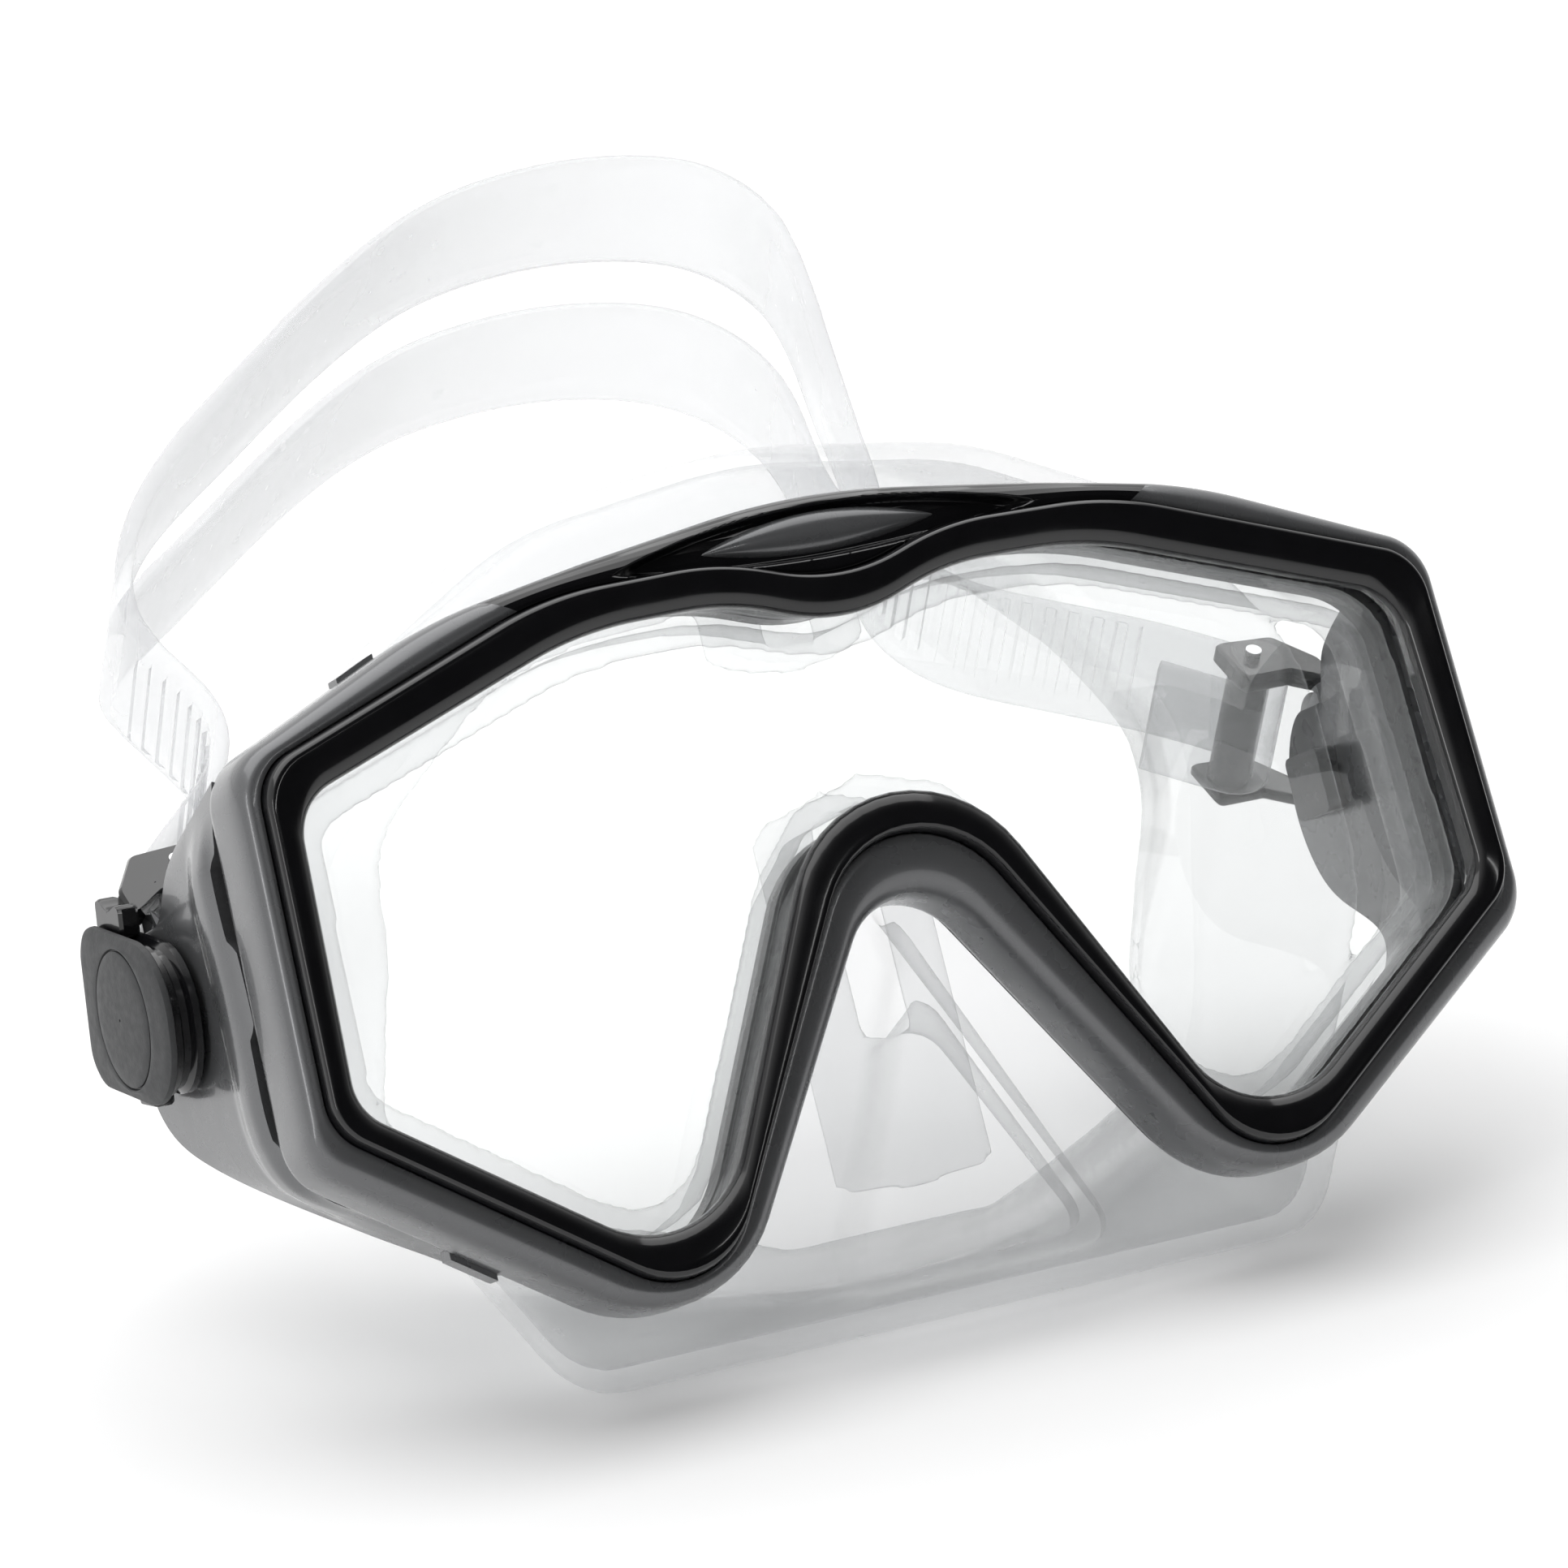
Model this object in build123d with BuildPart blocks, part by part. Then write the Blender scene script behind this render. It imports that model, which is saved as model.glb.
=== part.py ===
"""Diving mask with a single lens, a clear skirt and a split strap on swivel buckles.

The mask rests on the rim of its skirt, so the lens leans back. +X is to the right seen from the front
(the wearer's left), -Y is the way the lens looks and +Z is up. "Right" and "left" in the names are as
seen from the front. The origin is the middle of the base of the bounding box.
"""
import os
from math import cos, radians, sin

from build123d import *

os.makedirs("parts", exist_ok=True)

# ---- Driving dimensions, in millimetres and degrees ----
LENS_TILT = 30.5          # how far the lens leans back at rest
LENS_Y = -68.53           # middle of the lens front
LENS_Z = 54.88
LENS_THICKNESS = 4.0
LENS_EDGE = 1.6           # how far the glass reaches under the retainer ring
RING_CREST = 2.5          # how far the retainer ring stands in front of the glass
FRAME_FRONT = 0.5         # front of the outer frame, in front of the glass
FRAME_BACK = 9.0          # depth of the back of the outer frame
INNER_FRAME_BACK = 12.0
JOINT_GAP = 0.15          # gap between two mouldings that fit together
SKIRT_WALL = 2.2
SKIRT_FRONT = 12.2        # depth of the front wall of the skirt body
SKIRT_BACK = 56.0         # depth of the cheek rims
TEMPLE_RIM = 41.0         # depth of the temple rims, which leave room for the strap
FOREHEAD_RIM = 27.0
BROW_REACH = 60.0         # the brow curve runs this far to each side
BROW_DROP = 7.0           # and is this much deeper halfway
PIVOT_DEPTH = 34.2        # buckle pivot, behind the glass
ARM_INNER_X = 76.5
ARM_THICKNESS = 3.0
BUCKLE_PITCH = 16.0       # how far the strap rises behind the buckles
BUCKLE_INNER_X = 79.8
BASE_THICKNESS = 1.5
COVER_X = 83.5            # inner face of the buckle cover
COVER_THICKNESS = 1.7
BUCKLE_HALF_HEIGHT = 12.5
BUCKLE_FRONT = -9.5
BUCKLE_BACK = 11.0
PIVOT_RADIUS = 2.6
ROLLER_X = 72.5
ROLLER_BACK = 14.5
ROLLER_RADIUS = 2.6
ROLLER_PIN_RADIUS = 1.0
RUNNING_GAP = 0.06
STRAP_THICKNESS = 2.2
STRAP_END_WIDTH = 16.0

COS_TILT = cos(radians(LENS_TILT))
SIN_TILT = sin(radians(LENS_TILT))
COS_PITCH = cos(radians(BUCKLE_PITCH))
SIN_PITCH = sin(radians(BUCKLE_PITCH))
PIVOT_Y = LENS_Y + PIVOT_DEPTH * COS_TILT
PIVOT_Z = LENS_Z - PIVOT_DEPTH * SIN_TILT

# The lens plane: local x across the mask, local y up the lens, normal out of the glass.
lens_plane = Plane(origin=(0, LENS_Y, LENS_Z), x_dir=(1, 0, 0), z_dir=(0, -COS_TILT, SIN_TILT))
# The strap plane: local x across, local y back along the strap, normal across the strap's width.
strap_plane = Plane(
    origin=(0, PIVOT_Y, PIVOT_Z), x_dir=(1, 0, 0), z_dir=(0, -SIN_PITCH, COS_PITCH)
)


def depth(distance):
    """The lens plane moved back into the mask."""
    return lens_plane.offset(-distance)


def mask_side(x):
    """A plane across the mask at x: local x goes back from the glass, local y goes up the lens."""
    return Plane(origin=(x, LENS_Y, LENS_Z), x_dir=(0, COS_TILT, -SIN_TILT), z_dir=(1, 0, 0))


def buckle_side(x):
    """A plane through a buckle at x: local x goes back along the strap, local y up across it."""
    return Plane(origin=(x, PIVOT_Y, PIVOT_Z), x_dir=(0, COS_PITCH, SIN_PITCH), z_dir=(1, 0, 0))


def mirrored(points):
    """A closed outline from its right half, given from the top middle to the bottom middle."""
    left = [(-x, y) for x, y in reversed(points) if x > 0]
    return points + left


def mirrored_radii(points, radii):
    left = [r for (x, y), r in reversed(list(zip(points, radii))) if x > 0]
    return radii + left


# Right halves of the outlines in the lens plane, from the top middle to the nose, with corner radii.
OPENING = [(0, 25.4), (14.5, 30.4), (33, 30.2), (71.7, 17.0), (73.3, -17.7), (35.9, -44.1), (0, 24.7)]
OPENING_RADII = [22, 32, 45, 7, 6, 12.5, 16.5]
RING_EDGE = [(0, 30.6), (15, 35.4), (37, 35.0), (75.7, 21.4), (76.9, -19.6), (36.5, -48.2), (0, 12.7)]
RING_EDGE_RADII = [25, 35, 45, 6.5, 6.5, 10, 12.9]
OUTER_EDGE = [(0, 42.7), (30, 38.4), (50, 34.9), (78.2, 22.8), (79.6, -23.0), (35.7, -53.2), (0, 1.4)]
OUTER_EDGE_RADII = [90, 90, 60, 7, 7, 16.6, 9.5]


def outline(points, radii):
    FilletPolyline(*mirrored(points), radius=mirrored_radii(points, radii), close=True)


# Flat outlines that several pieces share.
with BuildSketch() as opening:
    with BuildLine():
        outline(OPENING, OPENING_RADII)
    make_face()

with BuildSketch() as glass_edge:
    add(opening.sketch)
    offset(amount=LENS_EDGE)

with BuildSketch() as glass_pocket:
    add(opening.sketch)
    offset(amount=LENS_EDGE + JOINT_GAP)

with BuildSketch() as ring_edge:
    with BuildLine():
        outline(RING_EDGE, RING_EDGE_RADII)
    make_face()

with BuildSketch() as ring_pocket:
    add(ring_edge.sketch)
    offset(amount=JOINT_GAP)

with BuildSketch() as outer_edge:
    with BuildLine():
        outline(OUTER_EDGE, OUTER_EDGE_RADII)
    make_face()


# ---- Lens ----
with BuildPart() as lens:
    with BuildSketch(lens_plane):
        add(glass_edge.sketch)
    extrude(amount=-LENS_THICKNESS)
lens.part.label = "lens"
export_step(lens.part, "parts/lens.step")

# ---- Retainer ring: a crest in front of the glass and a rim around its edge ----
with BuildPart() as inner_ring:
    with BuildSketch(lens_plane.offset(RING_CREST)):
        add(ring_edge.sketch)
        add(opening.sketch, mode=Mode.SUBTRACT)
    extrude(amount=-RING_CREST)
    with BuildSketch(lens_plane):
        add(ring_edge.sketch)
        add(glass_pocket.sketch, mode=Mode.SUBTRACT)
    extrude(amount=-LENS_THICKNESS)
inner_ring.part.label = "inner_ring"
export_step(inner_ring.part, "parts/inner_ring.step")

# ---- Outer frame, open across the forehead, and the bridge that closes it ----
BRIDGE_FOOT = [(-44, 60), (-44, 34), (-40, 25), (40, 25), (44, 34), (44, 60)]
with BuildSketch() as bridge_zone:
    with BuildLine():
        Polyline(*BRIDGE_FOOT, close=True)
    make_face()

with BuildSketch() as bridge_clearance:
    add(bridge_zone.sketch)
    offset(amount=JOINT_GAP, kind=Kind.INTERSECTION)

with BuildPart() as front_frame:
    with BuildSketch(lens_plane.offset(FRAME_FRONT)):
        add(outer_edge.sketch)
        add(ring_pocket.sketch, mode=Mode.SUBTRACT)
        add(bridge_clearance.sketch, mode=Mode.SUBTRACT)
    extrude(amount=-(FRAME_FRONT + FRAME_BACK))
front_frame.part.label = "front_frame"
export_step(front_frame.part, "parts/front_frame.step")

RECESS_HALF = 22.0
RECESS_TOP = 40.6
RECESS_MIDDLE = 37.2
RECESS_BOTTOM = 33.9
RECESS_DEPTH = 2.6
BADGE_HALF = 15.5
BADGE_TOP = 39.3
BADGE_BOTTOM = 34.8
BADGE_THICKNESS = 1.4


def eye(half, top, middle, bottom):
    """A flat eye shape: two arcs that meet in points."""
    ThreePointArc((-half, middle), (0, top), (half, middle))
    ThreePointArc((half, middle), (0, bottom), (-half, middle))


with BuildPart() as top_bridge:
    with BuildSketch(lens_plane.offset(FRAME_FRONT)):
        add(outer_edge.sketch)
        add(ring_pocket.sketch, mode=Mode.SUBTRACT)
        add(bridge_zone.sketch, mode=Mode.INTERSECT)
    extrude(amount=-(FRAME_FRONT + FRAME_BACK))
    with BuildSketch(lens_plane.offset(FRAME_FRONT)):
        with BuildLine():
            eye(RECESS_HALF, RECESS_TOP, RECESS_MIDDLE, RECESS_BOTTOM)
        make_face()
    extrude(amount=-RECESS_DEPTH, mode=Mode.SUBTRACT)
top_bridge.part.label = "top_bridge"
export_step(top_bridge.part, "parts/top_bridge.step")

with BuildPart() as bridge_badge:
    with BuildSketch(lens_plane.offset(FRAME_FRONT - RECESS_DEPTH)):
        with BuildLine():
            eye(BADGE_HALF, BADGE_TOP, RECESS_MIDDLE, BADGE_BOTTOM)
        make_face()
    extrude(amount=BADGE_THICKNESS)
bridge_badge.part.label = "bridge_badge"
export_step(bridge_badge.part, "parts/bridge_badge.step")

# ---- Inner frame, which holds the skirt's collar, and the clips on its edge ----
INNER_FRAME_INSET = 1.5
with BuildPart() as inner_frame:
    with BuildSketch(depth(FRAME_BACK + JOINT_GAP)):
        add(outer_edge.sketch)
        offset(amount=-INNER_FRAME_INSET)
        add(glass_pocket.sketch, mode=Mode.SUBTRACT)
    extrude(amount=-(INNER_FRAME_BACK - FRAME_BACK - JOINT_GAP))
inner_frame.part.label = "inner_frame"
export_step(inner_frame.part, "parts/inner_frame.step")

CLIP_CENTRES = [(-60, -37), (60, -37), (-57, 31.5), (57, 31.5)]
CLIP_LENGTH = 5.0
CLIP_REACH = 12.0
CLIP_PROUD = 0.5
CLIP_DEPTH = 2.6
with BuildSketch() as clip_band:
    add(outer_edge.sketch)
    offset(amount=CLIP_PROUD)

with BuildSketch() as clip_seat:
    add(outer_edge.sketch)
    offset(amount=-(INNER_FRAME_INSET - JOINT_GAP))

with BuildPart() as frame_clips:
    with BuildSketch(depth(FRAME_BACK + JOINT_GAP)):
        with Locations(*CLIP_CENTRES):
            Rectangle(CLIP_LENGTH, CLIP_REACH)
        add(clip_band.sketch, mode=Mode.INTERSECT)
        add(clip_seat.sketch, mode=Mode.SUBTRACT)
    extrude(amount=-CLIP_DEPTH)
frame_clips.part.label = "frame_clips"
export_step(frame_clips.part, "parts/frame_clips.step")

# ---- Skirt: a flange behind the glass, a collar, a tapering body and a nose pocket ----
BODY_FRONT = [(0, 50.5), (30, 46.5), (58, 33.5), (72.0, 14), (72.0, -16), (50, -55.6)]
BODY_BACK = [(0, 57.0), (26, 52), (46, 34), (55, 14), (55, -12), (44, -29.5)]
CAVITY_FRONT = [(0, 48.3), (29, 44.3), (57, 31.6), (69.8, 13.3), (69.8, -15.3), (48.8, -53.2)]
CAVITY_BACK = [(0, 54.8), (25, 50), (44.5, 32.6), (52.8, 13.3), (52.8, -11.3), (42.8, -27.3)]
BODY_RADII = [60, 40, 22, 18, 18, 10]
SEAL_OPENING = [(0, 33), (32, 31), (51.5, 14), (51.5, -20), (38, -33), (14, -42)]
SEAL_RADII = [60, 25, 18, 16, 14, 8]
FLANGE_LIP = 3.5          # how far the flange shows inside the lens opening
CHEEK_TOP = -20.0         # height where the rim starts forward from the cheeks
TEMPLE_HEIGHT = 1.0       # and where it reaches the temples
RIM_ROUND = 10.0
NOSE_TOP = -8.5
NOSE_HALF_WIDTH = 18.0
NOSE_FLARE = 5.0
NOSE_BOTTOM = -50.0
NOSE_FRONT = 1.5
NOSE_DEPTH = 18.0
NOSE_ROUND = 3.0
BEYOND = 150.0            # well outside the mask


def tapered_body(front_depth, front_points, back_points):
    """A solid between a front outline and a back outline."""
    with BuildPart() as body:
        for place, points in ((front_depth, front_points), (SKIRT_BACK + SKIRT_WALL, back_points)):
            with BuildSketch(depth(place)):
                with BuildLine():
                    outline(points, BODY_RADII)
                make_face()
        loft(ruled=True)
    return body.part


def face_space(shift):
    """The wearer's face: everything behind the seal, deeper at the cheeks than at the brow."""
    cheek = SKIRT_BACK - shift
    brow = FOREHEAD_RIM - shift
    temple = TEMPLE_RIM - shift
    with BuildPart() as face:
        with BuildSketch(Plane(lens_plane.origin, x_dir=(1, 0, 0), z_dir=-lens_plane.y_dir)):
            with BuildLine():
                Spline(
                    (-BROW_REACH, -cheek), (-BROW_REACH / 2, -brow - BROW_DROP), (0, -brow),
                    (BROW_REACH / 2, -brow - BROW_DROP), (BROW_REACH, -cheek),
                )
                Polyline(
                    (BROW_REACH, -cheek), (BEYOND, -cheek), (BEYOND, -BEYOND), (-BEYOND, -BEYOND),
                    (-BEYOND, -cheek), (-BROW_REACH, -cheek),
                )
            make_face()
        extrude(amount=BEYOND, both=True)
        with BuildSketch(mask_side(0)):
            with BuildLine():
                FilletPolyline((cheek, -BEYOND), (cheek, CHEEK_TOP), (temple, TEMPLE_HEIGHT),
                               (temple, BEYOND), radius=RIM_ROUND)
                Polyline((temple, BEYOND), (BEYOND, BEYOND), (BEYOND, -BEYOND), (cheek, -BEYOND))
            make_face()
        extrude(amount=BEYOND, both=True)
    return face.part


def nose_block(inset, front):
    """The nose pocket as a solid: a triangle in front that widens backwards."""
    half = NOSE_HALF_WIDTH - inset
    top = NOSE_TOP - 2 * inset
    low = NOSE_BOTTOM + inset
    with BuildPart() as nose:
        with BuildSketch(depth(front)):
            with BuildLine():
                FilletPolyline((0, top), (half, low), (-half, low), radius=NOSE_ROUND, close=True)
            make_face()
        with BuildSketch(depth(NOSE_DEPTH)):
            with BuildLine():
                FilletPolyline((0, top), (half + NOSE_FLARE, low), (-half - NOSE_FLARE, low),
                               radius=NOSE_ROUND, close=True)
            make_face()
        loft(ruled=True)
    return nose.part


with BuildPart() as skirt_hollow:
    add(tapered_body(SKIRT_FRONT + SKIRT_WALL, CAVITY_FRONT, CAVITY_BACK))
    add(nose_block(SKIRT_WALL, NOSE_FRONT + SKIRT_WALL))
    add(face_space(SKIRT_WALL), mode=Mode.SUBTRACT)

with BuildPart() as skirt:
    with BuildSketch(depth(LENS_THICKNESS)):
        add(glass_edge.sketch)
    extrude(amount=-(SKIRT_FRONT - LENS_THICKNESS + SKIRT_WALL / 2))
    add(tapered_body(SKIRT_FRONT, BODY_FRONT, BODY_BACK))
    add(nose_block(0, NOSE_FRONT))
    add(face_space(0), mode=Mode.SUBTRACT)
    add(skirt_hollow.part, mode=Mode.SUBTRACT)
    with BuildSketch(depth(LENS_THICKNESS + SKIRT_WALL)):
        add(glass_edge.sketch)
        offset(amount=-SKIRT_WALL)
    extrude(amount=-(SKIRT_FRONT - LENS_THICKNESS), mode=Mode.SUBTRACT)
    with BuildSketch(depth(0)):
        add(opening.sketch)
        offset(amount=-FLANGE_LIP)
    extrude(amount=-SKIRT_FRONT, mode=Mode.SUBTRACT)
    with BuildSketch(depth(SKIRT_FRONT + 2 * SKIRT_WALL)):
        with BuildLine():
            outline(SEAL_OPENING, SEAL_RADII)
        make_face()
    extrude(amount=-SKIRT_BACK, mode=Mode.SUBTRACT)
skirt.part.label = "skirt"
export_step(skirt.part, "parts/skirt.step")

# ---- Arms, from the inner frame back to the buckle pivots ----
ARM_FRONT = 12.2
ARM_OUTLINE = [
    (ARM_FRONT, 21), (20, 19), (26, 15.8), (30.5, 10.5), (36.5, 11), (41.5, 7.3), (44.6, 1.5), (44.2, -4),
    (41.5, -9.5), (38, -14), (30, -18.5), (20, -23), (ARM_FRONT, -27),
]
ARM_RADII = [0.5, 20, 4, 2, 6, 6, 5, 5, 5, 5, 25, 30, 0.5]

with BuildPart() as arm_right:
    with BuildSketch(mask_side(ARM_INNER_X)):
        with BuildLine():
            FilletPolyline(*ARM_OUTLINE, radius=ARM_RADII, close=True)
        make_face()
        with Locations((PIVOT_DEPTH, 0)):
            Circle(PIVOT_RADIUS, mode=Mode.SUBTRACT)
    extrude(amount=ARM_THICKNESS)

# ---- Pivot pin: square boss inside the arm, shaft, and a head inside the buckle ----
BOSS_SIDE = 8.0
BOSS_ROUND = 1.0
BOSS_THICKNESS = 2.6
HEAD_RADIUS = 4.4
HEAD_THICKNESS = 0.9
BASE_OUTER_X = BUCKLE_INNER_X + BASE_THICKNESS
with BuildPart() as pivot_pin_right:
    with BuildSketch(mask_side(ARM_INNER_X)):
        with Locations((PIVOT_DEPTH, 0)):
            RectangleRounded(BOSS_SIDE, BOSS_SIDE, BOSS_ROUND)
    extrude(amount=-BOSS_THICKNESS)
    with BuildSketch(mask_side(ARM_INNER_X)):
        with Locations((PIVOT_DEPTH, 0)):
            Circle(PIVOT_RADIUS)
    extrude(amount=BASE_OUTER_X + JOINT_GAP - ARM_INNER_X)
    with BuildSketch(mask_side(BASE_OUTER_X + JOINT_GAP)):
        with Locations((PIVOT_DEPTH, 0)):
            Circle(HEAD_RADIUS)
    extrude(amount=HEAD_THICKNESS)

# ---- Buckle frame: a base plate, a rim with two windows for the tabs, and two ears ----
RIM_THICKNESS = 1.5
CORNER_RADIUS = 5.0
BUCKLE_MIDDLE = (BUCKLE_BACK + BUCKLE_FRONT) / 2
BUCKLE_LENGTH = BUCKLE_BACK - BUCKLE_FRONT
TAB_FRONT = -6.5
TAB_BACK = 2.5
TAB_MIDDLE = (TAB_FRONT + TAB_BACK) / 2
TAB_GAP = 0.2
EAR_INNER = STRAP_END_WIDTH / 2 + 0.6
EAR_THICKNESS = 2.4
EAR_OUTLINE = [
    (BASE_OUTER_X, 7), (BASE_OUTER_X, 12.5), (77, 18.5), (69.3, 18.5), (69.3, 11), (76, 10.6),
    (BUCKLE_INNER_X, 8),
]
EAR_RADII = [0.3, 4, 3, 2.5, 2, 2, 0.3]

with BuildPart() as buckle_frame_right:
    with BuildSketch(buckle_side(BUCKLE_INNER_X)):
        with Locations((BUCKLE_MIDDLE, 0)):
            RectangleRounded(BUCKLE_LENGTH, 2 * BUCKLE_HALF_HEIGHT, CORNER_RADIUS)
        Circle(PIVOT_RADIUS + RUNNING_GAP, mode=Mode.SUBTRACT)
    extrude(amount=BASE_THICKNESS)
    with BuildSketch(buckle_side(BASE_OUTER_X)):
        with Locations((BUCKLE_MIDDLE, 0)):
            RectangleRounded(BUCKLE_LENGTH, 2 * BUCKLE_HALF_HEIGHT, CORNER_RADIUS)
            RectangleRounded(BUCKLE_LENGTH - 2 * RIM_THICKNESS, 2 * (BUCKLE_HALF_HEIGHT - RIM_THICKNESS),
                             CORNER_RADIUS - RIM_THICKNESS, mode=Mode.SUBTRACT)
        with Locations((TAB_MIDDLE, 0)):
            Rectangle(TAB_BACK - TAB_FRONT + 2 * TAB_GAP, BEYOND, mode=Mode.SUBTRACT)
    extrude(amount=COVER_X - BASE_OUTER_X - TAB_GAP)
    with BuildSketch(strap_plane.offset(EAR_INNER), strap_plane.offset(-EAR_INNER - EAR_THICKNESS)):
        with BuildLine():
            FilletPolyline(*EAR_OUTLINE, radius=EAR_RADII, close=True)
        make_face()
    extrude(amount=EAR_THICKNESS)
    with BuildSketch(strap_plane.offset(EAR_INNER + EAR_THICKNESS)):
        with Locations((ROLLER_X, ROLLER_BACK)):
            Circle(ROLLER_PIN_RADIUS)
    extrude(amount=-2 * (EAR_INNER + EAR_THICKNESS), mode=Mode.SUBTRACT)

# ---- Cover with its oval inset ----
INSET_LENGTH = 15.0
INSET_HEIGHT = 18.0
INSET_DEPTH = 0.8
INSET_PROUD = 0.3
COVER_CHAMFER = 1.0
with BuildPart() as buckle_cover_right:
    with BuildSketch(buckle_side(COVER_X)):
        with Locations((BUCKLE_MIDDLE, 0)):
            RectangleRounded(BUCKLE_LENGTH, 2 * BUCKLE_HALF_HEIGHT, CORNER_RADIUS)
    extrude(amount=COVER_THICKNESS)
    chamfer(buckle_cover_right.faces().sort_by(Axis.X)[-1].edges(), COVER_CHAMFER)
    with BuildSketch(buckle_side(COVER_X + COVER_THICKNESS)):
        with Locations((BUCKLE_MIDDLE, 0)):
            Ellipse(INSET_LENGTH / 2, INSET_HEIGHT / 2)
    extrude(amount=-INSET_DEPTH, mode=Mode.SUBTRACT)

with BuildPart() as cover_inset_right:
    with BuildSketch(buckle_side(COVER_X + COVER_THICKNESS - INSET_DEPTH)):
        with Locations((BUCKLE_MIDDLE, 0)):
            Ellipse(INSET_LENGTH / 2 - JOINT_GAP, INSET_HEIGHT / 2 - JOINT_GAP)
    extrude(amount=INSET_DEPTH + INSET_PROUD)

# ---- Squeeze tabs, which slide in the rim's windows, and their spring ----
TAB_PROUD = 2.4           # how far a tab stands out of the rim
TAB_INNER = 6.6           # inner end of a tab, clear of the pin's head
TAB_THICKNESS = 1.8
TAB_ROUND = 0.8
THUMB_RADIUS = 12.0       # curve of the dished thumb face
THUMB_DIP = 0.9
FINGER_BACK = 7.6         # each tab has a finger that bears on the spring
FINGER_INNER = 6.9
FINGER_THICKNESS = 1.6
SPRING_RADIUS = 0.75
SPRING_WIRE = 0.3
SPRING_PITCH = 1.1
SPRING_BACK = 6.0
SPRING_LENGTH = 10.4
TAB_BOTTOM_X = BASE_OUTER_X + TAB_GAP


def squeeze_tab(up):
    """One tab: up is 1 for the top and -1 for the bottom."""
    with BuildPart() as tab:
        with BuildSketch(buckle_side(TAB_BOTTOM_X)):
            with Locations((TAB_MIDDLE, up * (TAB_INNER + BUCKLE_HALF_HEIGHT + TAB_PROUD) / 2)):
                RectangleRounded(
                    TAB_BACK - TAB_FRONT, BUCKLE_HALF_HEIGHT + TAB_PROUD - TAB_INNER, TAB_ROUND
                )
            with Locations((TAB_MIDDLE, up * (BUCKLE_HALF_HEIGHT + TAB_PROUD + THUMB_RADIUS - THUMB_DIP))):
                Circle(THUMB_RADIUS, mode=Mode.SUBTRACT)
            with Locations(((TAB_MIDDLE + FINGER_BACK) / 2, up * (FINGER_INNER + FINGER_THICKNESS / 2))):
                Rectangle(FINGER_BACK - TAB_MIDDLE, FINGER_THICKNESS)
        extrude(amount=TAB_THICKNESS)
    return tab.part


squeeze_tab_top_right = squeeze_tab(1)
squeeze_tab_bottom_right = squeeze_tab(-1)

with BuildPart() as tab_spring_right:
    with BuildLine():
        coil = Helix(
            pitch=SPRING_PITCH,
            height=SPRING_LENGTH,
            radius=SPRING_RADIUS,
            center=strap_plane.from_local_coords(
                (TAB_BOTTOM_X + TAB_THICKNESS / 2, SPRING_BACK, -SPRING_LENGTH / 2)
            ),
            direction=strap_plane.z_dir,
        )
    with BuildSketch(Plane(origin=coil @ 0, z_dir=coil % 0)):
        Circle(SPRING_WIRE / 2)
    sweep(is_frenet=True)

# ---- Roller and its steel pin ----
ROLLER_HALF = STRAP_END_WIDTH / 2 + 0.4
with BuildPart() as strap_roller_right:
    with BuildSketch(strap_plane.offset(-ROLLER_HALF)):
        with Locations((ROLLER_X, ROLLER_BACK)):
            Circle(ROLLER_RADIUS)
            Circle(ROLLER_PIN_RADIUS + RUNNING_GAP, mode=Mode.SUBTRACT)
    extrude(amount=2 * ROLLER_HALF)

with BuildPart() as roller_pin_right:
    with BuildSketch(strap_plane.offset(-(EAR_INNER + EAR_THICKNESS))):
        with Locations((ROLLER_X, ROLLER_BACK)):
            Circle(ROLLER_PIN_RADIUS)
    extrude(amount=2 * (EAR_INNER + EAR_THICKNESS))

# Both sides of every piece that comes in pairs.
PAIRS = {
    "arm": arm_right.part,
    "pivot_pin": pivot_pin_right.part,
    "buckle_frame": buckle_frame_right.part,
    "buckle_cover": buckle_cover_right.part,
    "cover_inset": cover_inset_right.part,
    "squeeze_tab_top": squeeze_tab_top_right,
    "squeeze_tab_bottom": squeeze_tab_bottom_right,
    "tab_spring": tab_spring_right.part,
    "strap_roller": strap_roller_right.part,
    "roller_pin": roller_pin_right.part,
}
for name, piece in PAIRS.items():
    for side, solid in (("right", piece), ("left", mirror(piece, about=Plane.YZ))):
        solid.label = f"{name}_{side}"
        export_step(solid, f"parts/{name}_{side}.step")

# ---- Strap: one loop, narrow at the ribbed ends and split into two bands at the back ----
WRAP_GAP = 0.3            # gap between the strap and the roller
HALF_STRAP = STRAP_THICKNESS / 2
WRAP_RADIUS = ROLLER_RADIUS + WRAP_GAP + HALF_STRAP
STRAP_LEAVE = 45.0        # angle of the strap as it leaves the roller, from straight back
TAIL_LENGTH = 10.5
LEAVE_LENGTH = 10.0       # how far the strap runs straight from the roller
LOOP = [
    (-57, 37), (-54.5, 46), (-56, 57), (-56.5, 68), (-50.5, 81), (-40, 92), (-25, 105), (-8, 118),
    (6, 126), (20, 130), (37, 130), (50, 124), (56, 112), (55, 97), (49, 80), (45, 64), (43, 52),
    (46, 43), (54, 35.5),
]
LOOP_STEPS = 60
LOOP_BACK = 150.0         # behind the whole loop
BAND_TOP = 23.0
BAND_BOTTOM = -19.0
BAND_START = 58.0         # where the strap starts to widen
BAND_FULL = 104.0
BAND_EASE = 80.0
BAND_EASE_TOP = 16.0
BAND_EASE_BOTTOM = -14.0
SLOT_TOP = 5.5
SLOT_BOTTOM = -2.5
SLOT_MIDDLE = (SLOT_TOP + SLOT_BOTTOM) / 2
SLOT_START = 70.0
SLOT_EASE = 84.0
SLOT_FULL = 100.0

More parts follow.
